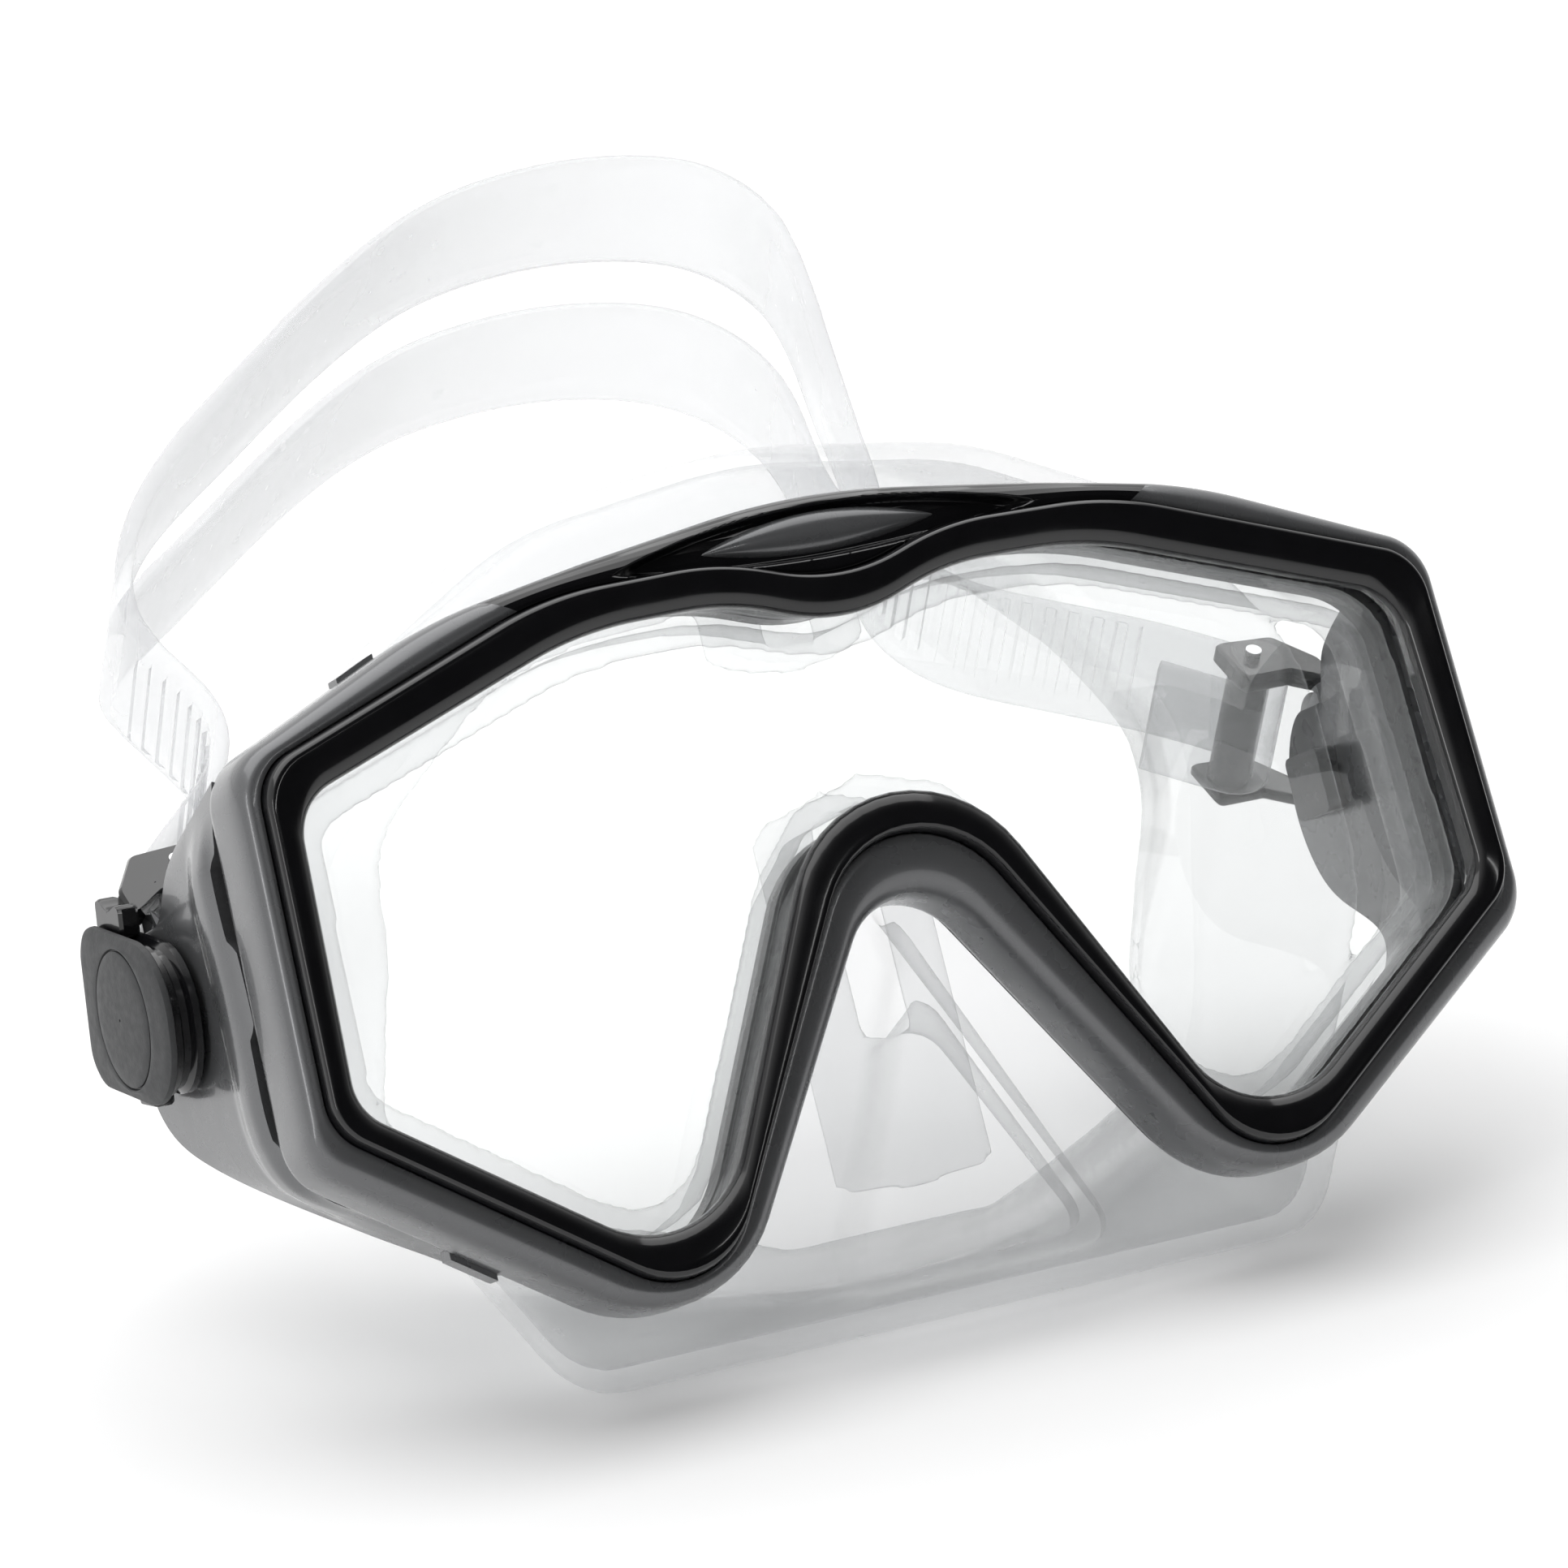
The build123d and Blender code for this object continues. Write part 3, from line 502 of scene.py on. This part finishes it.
# ---- Buckles: a black body with two ears, a domed cover with an oval inset, and two squeeze tabs ----
PLATE_LENGTH = 25.0
PLATE_HEIGHT = 19.0
PLATE_MIDDLE = (-0.5, 1.5)
PLATE_TURN = radians(28)
COS_PLATE, SIN_PLATE = cos(PLATE_TURN), sin(PLATE_TURN)
FRONT_CORNER, REAR_CORNER = 8.6, 4.6
BODY_IN, BODY_OUT = 79.85, 83.45
COVER_IN = 83.5
TAB_IN, TAB_OUT = 80.6, 83.1
TURN = np.linspace(0, 2 * pi, 128, endpoint=False)
OVAL_MIDDLE = np.array([-0.4, 0.0])
OVAL = OVAL_MIDDLE + np.stack([7.8 * np.cos(TURN), 8.2 * np.sin(TURN)], 1)
EAR = [(80.9, 7.5), (80.9, 12.0), (77, 18.0), (69.3, 18.5), (69.3, 11), (76, 10.6), (79.85, 8)]
EAR_SPANS = ((7.2, 9.9), (-10.2, -8.6))
TOP_TAB = [(9.6, 8.6), (9.6, 12.2), (8.4, 12.5), (7.2, 11.8), (5.8, 11.4), (4.4, 11.8), (3.2, 12.5),
           (2.0, 12.2), (2.0, 8.6)]
LOW_TAB = [(-2.5, -8.6), (-2.5, -10.4), (2.5, -10.8), (2.5, -8.6)]


def on_plate(x, a, b):
    """Buckle plate coordinates (across, back along the plate, up it) to the row frame, in metres."""
    s = PLATE_MIDDLE[0] + a * COS_PLATE + b * SIN_PLATE
    return along_strap(x, s, PLATE_MIDDLE[1] - a * SIN_PLATE + b * COS_PLATE)


def rounded_rectangle(length, height, radius):
    """Points of a rounded rectangle, one for each angle, found by halving."""
    direction = np.stack([np.cos(TURN), np.sin(TURN)], 1)
    half = np.array([length / 2, height / 2])
    low, high = np.zeros(len(TURN)), np.full(len(TURN), 40.0)
    for _ in range(40):
        middle = (low + high) / 2
        q = np.abs(direction * middle[:, None]) - (half - radius)
        gap = np.linalg.norm(np.maximum(q, 0), axis=1) + np.minimum(q.max(1), 0) - radius
        low, high = np.where(gap < 0, middle, low), np.where(gap < 0, high, middle)
    return direction * low[:, None]


def plate_outline(inset):
    """The plate's outline: fuller corners in front than behind."""
    length, height = PLATE_LENGTH - 2 * inset, PLATE_HEIGHT - 2 * inset
    front = rounded_rectangle(length, height, FRONT_CORNER - inset)
    rear = rounded_rectangle(length, height, REAR_CORNER - inset)
    return np.where(np.cos(TURN)[:, None] < 0, front, rear)


def oval_at(share):
    """The inset's oval, drawn in towards its middle."""
    return OVAL_MIDDLE + (OVAL - OVAL_MIDDLE) * share


def plate(sign, rings):
    """A solid of the plate's rings, each an outline and its place across the mask."""
    return loft([on_plate(sign * x, points[:, 0], points[:, 1]) for points, x in rings])


def slab(place, outline, low, high, edge):
    """A flat piece with eased edges: an outline carried from low to high."""
    centre = outline.mean(0)
    from_centre = outline - centre
    inner = centre + from_centre * (1 - edge / np.linalg.norm(from_centre, axis=1, keepdims=True))
    point = centre + (inner - centre) * 0.02
    rows = [point, inner, outline, outline, inner, point]
    heights = [low, low, low + edge, high - edge, high, high]
    return loft([place(points, h) for points, h in zip(rows, heights)])


def eased(points, radius=0.8, steps=5):
    """A closed outline with its corners rounded."""
    p = np.array(points, float)
    out = []
    for i in range(len(p)):
        a, b = p[i - 1] - p[i], p[(i + 1) % len(p)] - p[i]
        r = min(radius, np.linalg.norm(a) / 2.2, np.linalg.norm(b) / 2.2)
        first, last = p[i] + a / np.linalg.norm(a) * r, p[i] + b / np.linalg.norm(b) * r
        for t in np.linspace(0, 1, steps):
            out.append(first * (1 - t) ** 2 + p[i] * 2 * t * (1 - t) + last * t * t)
    return np.array(out)


def joined(solids):
    """Several solids as the vertices and faces of one mesh."""
    faces, start = [], 0
    for verts, solid_faces in solids:
        faces += [tuple(i + start for i in face) for face in solid_faces]
        start += len(verts)
    return np.concatenate([verts for verts, _ in solids]), faces


def cover(side, sign):
    edge, small = plate_outline(0), plate_outline(0.8)
    rings = [(edge * 0.02, COVER_IN), (edge * 0.6, COVER_IN), (edge * 0.985, COVER_IN)]
    rings += [(edge, COVER_IN + 0.15), (edge, COVER_IN + 0.5), (edge * 0.99, COVER_IN + 0.85)]
    rings.append((small, COVER_IN + 1.15))
    for t in (0.25, 0.5, 0.75, 1.0):
        points = small * 0.985 * (1 - t) + oval_at(1.02) * t
        rings.append((points, COVER_IN + 1.2 + 0.35 * smooth(t)))
    rings += [(OVAL, COVER_IN + 1.5), (oval_at(0.985), COVER_IN + 1.2), (oval_at(0.02), COVER_IN + 1.2)]
    make(f"cover_{side}", *plate(sign, rings), "head_strap", "matte_grey", MATTE,
         [f"buckle_cover_{side}"], sharp=40)


def inset(side, sign):
    rings = [(oval_at(0.02), COVER_IN + 1.25), (oval_at(0.965), COVER_IN + 1.25)]
    rings += [(oval_at(0.965), COVER_IN + 1.48), (oval_at(0.945), COVER_IN + 1.6)]
    for t in (0.8, 0.6, 0.4, 0.2, 0.02):
        rings.append((oval_at(t), COVER_IN + 1.62 + 0.3 * (1 - t * t)))
    make(f"inset_{side}", *plate(sign, rings), "head_strap", "matte_grey", MATTE,
         [f"cover_inset_{side}"], sharp=40)


def buckle_body(side, sign):
    """The black body: a waisted plate under the cover, and an ear above and below the strap."""
    wall, waist = plate_outline(0.7), plate_outline(1.3)
    rings = [(wall * 0.02, BODY_IN), (wall * 0.97, BODY_IN), (wall, 80.1), (wall, 80.9)]
    rings += [(waist, 81.4), (waist, 82.2), (wall, 82.6), (wall, BODY_OUT), (wall * 0.02, BODY_OUT)]
    solids = [plate(sign, rings)]
    for low, high in EAR_SPANS:
        solids.append(slab(lambda q, h: along_strap(sign * q[:, 0], q[:, 1], h), eased(EAR), low, high, 0.4))
    make(f"buckle_body_{side}", *joined(solids), "head_strap", "gloss_black", BLACK,
         [f"buckle_frame_{side}"], sharp=40)


def squeeze_tabs(side, sign):
    for end, outline in (("top", eased(TOP_TAB, 0.6)), ("bottom", eased(LOW_TAB, 0.6))):
        shape = slab(lambda q, x: on_plate(sign * x, q[:, 0], q[:, 1]), outline, TAB_IN, TAB_OUT, 0.4)
        make(f"tab_{end}_{side}_shown", *shape, f"tab_{end}_{side}", "gloss_black", BLACK,
             [f"squeeze_tab_{end}_{side}"], sharp=40)


for side, sign in SIDES:
    cover(side, sign)
    inset(side, sign)
    buckle_body(side, sign)
    squeeze_tabs(side, sign)


# ---- Skirt: one clear moulding, from a sampled distance field ----
def polygon_distance(x, v, polygon):
    """Signed distance to a closed polygon, negative inside."""
    best = np.full(x.shape, 1e9)
    odd = np.zeros(x.shape, bool)
    for (ax, ay), (bx, by) in zip(polygon, np.roll(polygon, -1, axis=0)):
        ex, ey = bx - ax, by - ay
        wx, wy = x - ax, v - ay
        t = np.clip((wx * ex + wy * ey) / (ex * ex + ey * ey + 1e-12), 0, 1)
        best = np.minimum(best, (wx - ex * t) ** 2 + (wy - ey * t) ** 2)
        if ay != by:
            odd ^= ((ay > v) != (by > v)) & (x < ex * (v - ay) / ey + ax)
    return np.where(odd, -1, 1) * np.sqrt(best)


def smooth_max(a, b, k):
    h = np.clip(0.5 + 0.5 * (a - b) / k, 0, 1)
    return b + (a - b) * h + k * h * (1 - h)


def smooth_min(a, b, k):
    return -smooth_max(-a, -b, k)


def net_vertices(field):
    """The middle of the crossings on each cell's edges, in cells, and which cells have any."""
    shape = np.array(field.shape)
    total = np.zeros((*(shape - 1), 3))
    count = np.zeros(shape - 1)
    for axis in range(3):
        others = [a for a in range(3) if a != axis]
        for i in (0, 1):
            for j in (0, 1):
                offset = np.zeros(3, int)
                offset[others[0]], offset[others[1]] = i, j
                ahead = offset.copy()
                ahead[axis] = 1
                a = field[tuple(slice(o, o + n - 1) for o, n in zip(offset, shape))]
                b = field[tuple(slice(o, o + n - 1) for o, n in zip(ahead, shape))]
                cross = (a < 0) != (b < 0)
                t = np.where(cross, a / np.where(cross, a - b, 1), 0)
                for c in range(3):
                    total[..., c] += np.where(cross, offset[c] + (t if c == axis else 0), 0)
                count += cross
    active = count > 0
    return np.argwhere(active) + total[active] / count[active][:, None], active


def surface_net(field, origin, step):
    """A mesh of the field's zero level."""
    shape = field.shape
    points, active = net_vertices(field)
    ids = np.full(active.shape, -1)
    ids[active] = np.arange(active.sum())
    quads = []
    for axis in range(3):
        one, two = [(1, 2), (2, 0), (0, 1)][axis]
        a = np.take(field, range(shape[axis] - 1), axis) < 0
        b = np.take(field, range(1, shape[axis]), axis) < 0
        cells = np.argwhere(a != b)
        keep = (cells[:, one] > 0) & (cells[:, two] > 0)
        keep &= (cells[:, one] < shape[one] - 1) & (cells[:, two] < shape[two] - 1)
        cells = cells[keep]
        e1, e2 = np.eye(3, dtype=int)[one], np.eye(3, dtype=int)[two]
        quad = np.stack([ids[tuple((cells - d).T)] for d in (0 * e1, e1, e1 + e2, e2)], 1)
        swap = a[tuple(cells.T)]
        quad[swap] = quad[swap][:, ::-1]
        quads.append(quad)
    return points * step + origin, np.concatenate(quads)


def relax(verts, quads, rounds, amount):
    """Evens out a mesh without moving its overall shape much."""
    ends = np.concatenate([quads[:, [0, 1]], quads[:, [1, 2]], quads[:, [2, 3]], quads[:, [3, 0]]])
    for step in range(2 * rounds):
        total = np.zeros_like(verts)
        count = np.zeros(len(verts))
        for i, j in ((0, 1), (1, 0)):
            np.add.at(total, ends[:, i], verts[ends[:, j]])
            np.add.at(count, ends[:, i], 1)
        pull = amount if step % 2 == 0 else -amount * 0.98
        verts = verts + pull * (total / count[:, None] - verts)
    return verts


BODY_FRONT = [(0, 50.5), (30, 46.5), (58, 33.5), (72.0, 14), (72.0, -16), (50, -55.6)]
BODY_BACK = [(0, 57.0), (26, 52), (46, 34), (55, 14), (55, -12), (44, -29.5)]
BODY_RADII = [60, 40, 22, 18, 18, 10]
SEAL_OPENING = [(0, 33), (32, 31), (51.5, 14), (51.5, -20), (38, -33), (14, -42)]
SEAL_RADII = [60, 25, 18, 16, 14, 8]
BROW_ACROSS = [0, 10, 20, 30, 45, 60, 90]
BROW_DEPTH = [27, 27.8, 30.5, 34.5, 43, 56, 60]
SKIRT_WALL = 2.0
SKIRT_FRONT, SKIRT_BACK = 12.2, 58.2
SEAL_FRONT = 17
COLLAR_OUT = 1.6              # how far the collar stands outside the opening
COLLAR_FRONT, COLLAR_BACK = 4.1, 16
WINDOW_IN = 3.5               # how far the window through it stands inside the opening
THROAT_FRONT, THROAT_BACK = 5.9, 18
NOSE_PEAK, NOSE_LOW = -8.5, -50.0
NOSE_HALF_WIDTH, NOSE_FLARE = 18, 5
NOSE_FRONT, NOSE_BACK = 1.3, 30
FIELD_SIDE, FIELD_DEPTH = 77, 61
FIELD_LOW, FIELD_HIGH = -59, 60
STEP = 0.8


def nose_pocket(ax, gv, u):
    """The nose pocket's outside and its hollow: a wedge that widens towards the face."""
    wide = NOSE_HALF_WIDTH + np.clip((u - 1.5) / 16.5, 0, 1) * NOSE_FLARE
    slope = sqrt(wide ** 2 + (NOSE_LOW - NOSE_PEAK) ** 2)
    side = ((ax * (NOSE_PEAK - NOSE_LOW)) + (gv - NOSE_PEAK) * wide) / slope
    nose = smooth_max(smooth_max(side, NOSE_LOW - gv, 5), NOSE_FRONT - u, 4)
    hollow = smooth_max(side + SKIRT_WALL, NOSE_LOW + SKIRT_WALL - gv, 4)
    hollow = smooth_max(hollow, NOSE_FRONT + SKIRT_WALL - u, 3)
    return smooth_max(nose, u - NOSE_BACK, 4), smooth_max(hollow, gv + 15 + 0.5 * u, 3)


def skirt_slice(ax, gv, u, outline, collar, seal, rim):
    """The skirt's distance field at one depth behind the glass."""
    shape = polygon_distance(ax, gv, outline)
    body = smooth_max(shape, SKIRT_FRONT - u, 4)
    hollow = smooth_max(shape + SKIRT_WALL, SKIRT_FRONT + SKIRT_WALL - u, 3)
    nose, nose_hollow = nose_pocket(ax, gv, u)
    tube = np.maximum(collar, np.maximum(COLLAR_FRONT - u, u - COLLAR_BACK))
    throat = np.maximum(collar + SKIRT_WALL, np.maximum(THROAT_FRONT - u, u - THROAT_BACK))
    window = np.maximum(collar + COLLAR_OUT + WINDOW_IN, u - THROAT_BACK)
    outside = smooth_min(smooth_min(body, nose, 5), tube, 1.5)
    inside = np.minimum(smooth_min(hollow, nose_hollow, 3), throat)
    lean = 0.75 * np.clip(-shape - 3, 0, 13)
    face = (u - rim + lean) / 1.25
    solid = smooth_max(outside, face, 1.6)
    room = smooth_max(inside, face + SKIRT_WALL * 0.85, 2)
    solid = smooth_max(solid, -room, 0.8)
    solid = np.maximum(solid, -window)
    return smooth_max(solid, -np.maximum(seal, SEAL_FRONT - u), 1.2)


def skirt_field():
    """Distances to the skirt's surface over its +X half, and the places of the first sample."""
    xs = np.arange(-2 * STEP, FIELD_SIDE, STEP)
    us = np.arange(0, FIELD_DEPTH, STEP)
    vs = np.arange(FIELD_LOW, FIELD_HIGH, STEP)
    gx, gv = np.meshgrid(xs, vs, indexing="ij")
    ax = np.abs(gx)
    front = rounded(BODY_FRONT, BODY_RADII, 5, 2)
    back = rounded(BODY_BACK, BODY_RADII, 5, 2)
    collar = polygon_distance(ax, gv, rounded(OPENING, OPENING_RADII, 4, 2)) - COLLAR_OUT
    seal = polygon_distance(ax, gv, rounded(SEAL_OPENING, SEAL_RADII, 5, 2))
    cheek = 56 - 15 * smooth((gv + 24) / 30)
    rim = smooth_min(np.interp(ax, BROW_ACROSS, BROW_DEPTH), cheek, 5)
    field = np.zeros((len(xs), len(us), len(vs)))
    for k, u in enumerate(us):
        a = np.clip((u - SKIRT_FRONT) / (SKIRT_BACK - SKIRT_FRONT), 0, 1)
        outline = front * (1 - a) + back * a
        field[:, k, :] = skirt_slice(ax, gv, u, outline, collar, seal, rim)
    return field, (us[0], vs[0])


# Known fault: the mirrored half should start at the first sample beyond the middle, [:2:-1]. It starts
# two samples further out, so the moulding is two steps too narrow and has small notches at its middle.
half_field, (first_u, first_v) = skirt_field()
whole_field = np.concatenate([half_field[:4:-1], half_field[2:]])
skirt_verts, skirt_quads = surface_net(whole_field, np.array([0.0, first_u, first_v]), STEP)
skirt_verts[:, 0] -= skirt_verts[:, 0].mean()
skirt_verts = relax(skirt_verts, skirt_quads, 24, 0.62)
skirt_points = local(skirt_verts[:, 0], skirt_verts[:, 1], skirt_verts[:, 2])
ABOVE_FLOOR = 0.0004
skirt_points[:, 2] = np.maximum(skirt_points[:, 2], ABOVE_FLOOR)
make("skirt_moulding", skirt_points, skirt_quads, "mask", "clear_silicone", SKIRT_SILICONE,
     ["skirt"], sharp=0)

# ---- Strap: a clear moulding that wraps both rollers, ribbed at the ends and split at the back ----
ROLLER = np.array([72.5, 14.5])
WRAP_RADIUS = 4.0
LEAVE = radians(45)           # the direction in which the strap leaves its roller
LOOP = [
    (-57, 37), (-54.5, 46), (-56, 57), (-56.5, 68), (-50.5, 81), (-40, 92), (-25, 105), (-8, 118),
    (6, 126), (20, 130), (37, 130), (50, 124), (56, 112), (55, 97), (49, 80), (45, 64), (43, 52),
    (46, 43), (54, 35.5),
]
TO_LEFT = np.array([-1, 1])
STRAP_HALF = 1.1              # half of its thickness
WIDTH_BACK = [58, 64, 72, 80, 88, 96, 104]
WIDTH_TOP = [8, 8.7, 11.7, 16, 19.8, 22.2, 23]
WIDTH_LOW = [-8, -8.6, -10.8, -14, -16.7, -18.4, -19]
SPLIT_BACK = [70, 73, 77, 84, 92, 100]
SPLIT_TOP = [1.5, 2.6, 3.7, 4.6, 5.2, 5.4]
SPLIT_LOW = [1.5, 0.4, -0.6, -1.5, -2.2, -2.4]
SPLIT_FROM = 70.01
WIDE_FROM = 58
RIBS_TO, RIBS_AFTER = 60, 38  # how far back the ribs reach, and how far from each end they start
RIB_PITCH, RIB_HEIGHT, RIB_HALF_WIDTH = 3.0, 0.75, 6.3
ROW_SHARE = np.array([0, 0.03, 0.08, 0.2, 0.25, 0.6, 0.92, 0.97, 1.0])
ROW_THICK = np.array([0.4, 0.8, 1, 1, 1, 1, 1, 0.85, 0.5])
ROWS = len(ROW_SHARE)


def strap_route():
    """The strap's middle line in plan: round the left roller, round the back, and round the right roller."""
    leave = np.array([-sin(LEAVE), cos(LEAVE)])
    across = np.array([cos(LEAVE), sin(LEAVE)])
    main_end = ROLLER + across * WRAP_RADIUS
    straight = main_end + leave * 10
    points = [main_end * TO_LEFT, straight * TO_LEFT, *map(np.array, LOOP), straight, main_end]
    loop = smooth_path(points, 1500)
    turn = np.linspace(0, pi, 24)[1:]
    wrap = np.array([ROLLER + WRAP_RADIUS * (across * cos(t) - leave * sin(t)) for t in turn])
    tail = np.array([wrap[-1] + leave * d for d in np.linspace(0.5, 10.5, 20)])
    end = np.concatenate([wrap, tail])
    return np.concatenate([(end * TO_LEFT)[::-1], loop, end])


line = strap_route()
tangent = np.gradient(line, axis=0)
tangent /= np.linalg.norm(tangent, axis=1, keepdims=True)
outward = np.stack([-tangent[:, 1], tangent[:, 0]], 1)
run = np.r_[0, np.cumsum(np.linalg.norm(np.diff(line, axis=0), axis=1))]
back = line[:, 1]
top = np.interp(back, WIDTH_BACK, WIDTH_TOP)
low = np.interp(back, WIDTH_BACK, WIDTH_LOW)
slot_top = np.interp(back, SPLIT_BACK, SPLIT_TOP)
slot_low = np.interp(back, SPLIT_BACK, SPLIT_LOW)
split = back > SPLIT_FROM
lean = 0.15 * smooth((back - 62) / 40)
ribbed = (run > RIBS_AFTER) & (run < run[-1] - RIBS_AFTER) & (back < RIBS_TO)
ribs = np.where(ribbed, np.clip(np.sin(2 * pi * run / RIB_PITCH) * 2.2 + 0.3, 0, 1), 0) * RIB_HEIGHT


def strap_point(i, h, shift):
    """A point of the strap's skin: h across its width, shift out from its middle line."""
    move = shift * outward[i] + outward[i] * (-lean[i] * (h + 19))
    return along_strap(line[i, 0] + move[0], line[i, 1] + move[1], h)


def strap_ring(i, verts):
    """Adds a section's points to verts and gives each face's low and top row, joined where it isn't split."""
    middle_low = slot_low[i] if split[i] else 1.5 if back[i] > WIDE_FROM else 0.0
    middle_top = slot_top[i] if split[i] else middle_low
    low_heights = low[i] + (middle_low - low[i]) * ROW_SHARE
    top_heights = top[i] + (middle_top - top[i]) * ROW_SHARE
    thick = ROW_THICK if split[i] else np.where(np.arange(ROWS) > 5, 1, ROW_THICK)
    ring = {}
    for face, sign in (("out", 1), ("in", -1)):
        for band, heights in (("low", low_heights), ("top", top_heights)):
            ids = []
            for j, h in enumerate(heights):
                if band == "top" and j == ROWS - 1 and not split[i]:
                    ids.append(ring[face, "low"][-1])
                    continue
                rib = ribs[i] * (abs(h) < RIB_HALF_WIDTH) if face == "out" else 0
                verts.append(strap_point(i, h, sign * STRAP_HALF * thick[j] + rib))
                ids.append(len(verts) - 1)
            ring[face, band] = ids
    return ring


def strap():
    verts = []
    rings = [strap_ring(i, verts) for i in range(len(line))]
    faces = []
    for i in range(len(line) - 1):
        a, b = rings[i], rings[i + 1]
        for band in ("low", "top"):
            for face in ("out", "in"):
                p, q = a[face, band], b[face, band]
                faces += [(p[j], q[j], q[j + 1], p[j + 1]) for j in range(ROWS - 1)]
            edges = (0, -1) if split[i] or split[i + 1] else (0,)
            for j in edges:
                faces.append((a["out", band][j], b["out", band][j], b["in", band][j], a["in", band][j]))
    for end in (rings[0], rings[-1]):
        for band in ("low", "top"):
            p, q = end["out", band], end["in", band]
            faces += [(p[j], p[j + 1], q[j + 1], q[j]) for j in range(ROWS - 1)]
    make("split_strap", np.array(verts), faces, "head_strap", "clear_silicone", STRAP_SILICONE,
         ["strap"], sharp=55)


strap()

# ---- Floor, world, lights and camera ----
FLOOR_HALF = 6
DARK_SIDE = (0.40, -0.80, 0.44)
CAMERA_BACK = np.array([-0.43848, -0.82032, 0.36716])
CAMERA_TARGET = local(-12.58, 0, 8.85)
CAMERA_DISTANCE = 0.83313


def white_floor():
    h = FLOOR_HALF
    mesh = bpy.data.meshes.new("floor")
    mesh.from_pydata([(-h, -h, 0), (h, -h, 0), (h, h, 0), (-h, h, 0)], [], [(0, 1, 2, 3)])
    floor = bpy.data.objects.new("floor", mesh)
    material, _, shader = new_material("floor", Base_Color=(0.93, 0.93, 0.93, 1), Roughness=0.9)
    shader.inputs["Specular IOR Level"].default_value = 0.0
    mesh.materials.append(material)
    bpy.context.scene.collection.objects.link(floor)


def studio_world():
    """A white surround that is dark on the camera's right, which the glossy black mirrors."""
    world = bpy.data.worlds.new("studio")
    world.use_nodes = True
    tree = world.node_tree
    direction = tree.nodes.new("ShaderNodeTexCoord")
    facing = tree.nodes.new("ShaderNodeVectorMath")
    facing.operation = "DOT_PRODUCT"
    facing.inputs[1].default_value = DARK_SIDE
    level = tree.nodes.new("ShaderNodeMapRange")
    level.interpolation_type = "SMOOTHSTEP"
    level.inputs["From Min"].default_value = 0.25
    level.inputs["From Max"].default_value = 0.85
    level.inputs["To Min"].default_value = 0.95
    level.inputs["To Max"].default_value = 0.02
    tree.links.new(direction.outputs["Generated"], facing.inputs[0])
    tree.links.new(facing.outputs["Value"], level.inputs["Value"])
    tree.links.new(level.outputs["Result"], tree.nodes["Background"].inputs["Strength"])
    tree.nodes["Background"].inputs["Color"].default_value = (1, 1, 1, 1)
    bpy.context.scene.world = world


def softbox(name, place, target, size, power):
    data = bpy.data.lights.new(name, "AREA")
    data.shape = "RECTANGLE"
    data.size, data.size_y = size
    data.energy = power
    lamp = bpy.data.objects.new(name, data)
    lamp.location = place
    lamp.rotation_euler = (Vector(target) - Vector(place)).to_track_quat("-Z", "Y").to_euler()
    bpy.context.scene.collection.objects.link(lamp)


def photo_camera():
    """The camera of the photograph: in front of the mask, to its left and above."""
    back = CAMERA_BACK / np.linalg.norm(CAMERA_BACK)
    right = np.cross([0, 0, 1], back)
    right /= np.linalg.norm(right)
    up = np.cross(back, right)
    place = CAMERA_TARGET + back * CAMERA_DISTANCE
    data = bpy.data.cameras.new("camera")
    data.sensor_width = 36
    data.lens = 167.7
    data.clip_start = 0.01
    camera = bpy.data.objects.new("camera", data)
    rows = [[*row, p] for row, p in zip(np.stack([right, up, back], 1), place)]
    camera.matrix_world = Matrix(rows + [[0, 0, 0, 1]])
    bpy.context.scene.collection.objects.link(camera)
    bpy.context.scene.camera = camera


white_floor()
studio_world()
bpy.context.scene.view_settings.view_transform = "Standard"
softbox("top", (0.0, 0.5, 1.5), (0, 0.1, 0), (2.6, 2.0), 27.5)
softbox("strip_left", (-1.2, -0.5, 0.5), (0, 0, 0.05), (0.12, 0.9), 2.2)
softbox("strip_front", (0.1, -1.3, 1.15), (0, 0, 0.05), (0.9, 0.05), 1.0)
photo_camera()

bpy.context.view_layer.update()
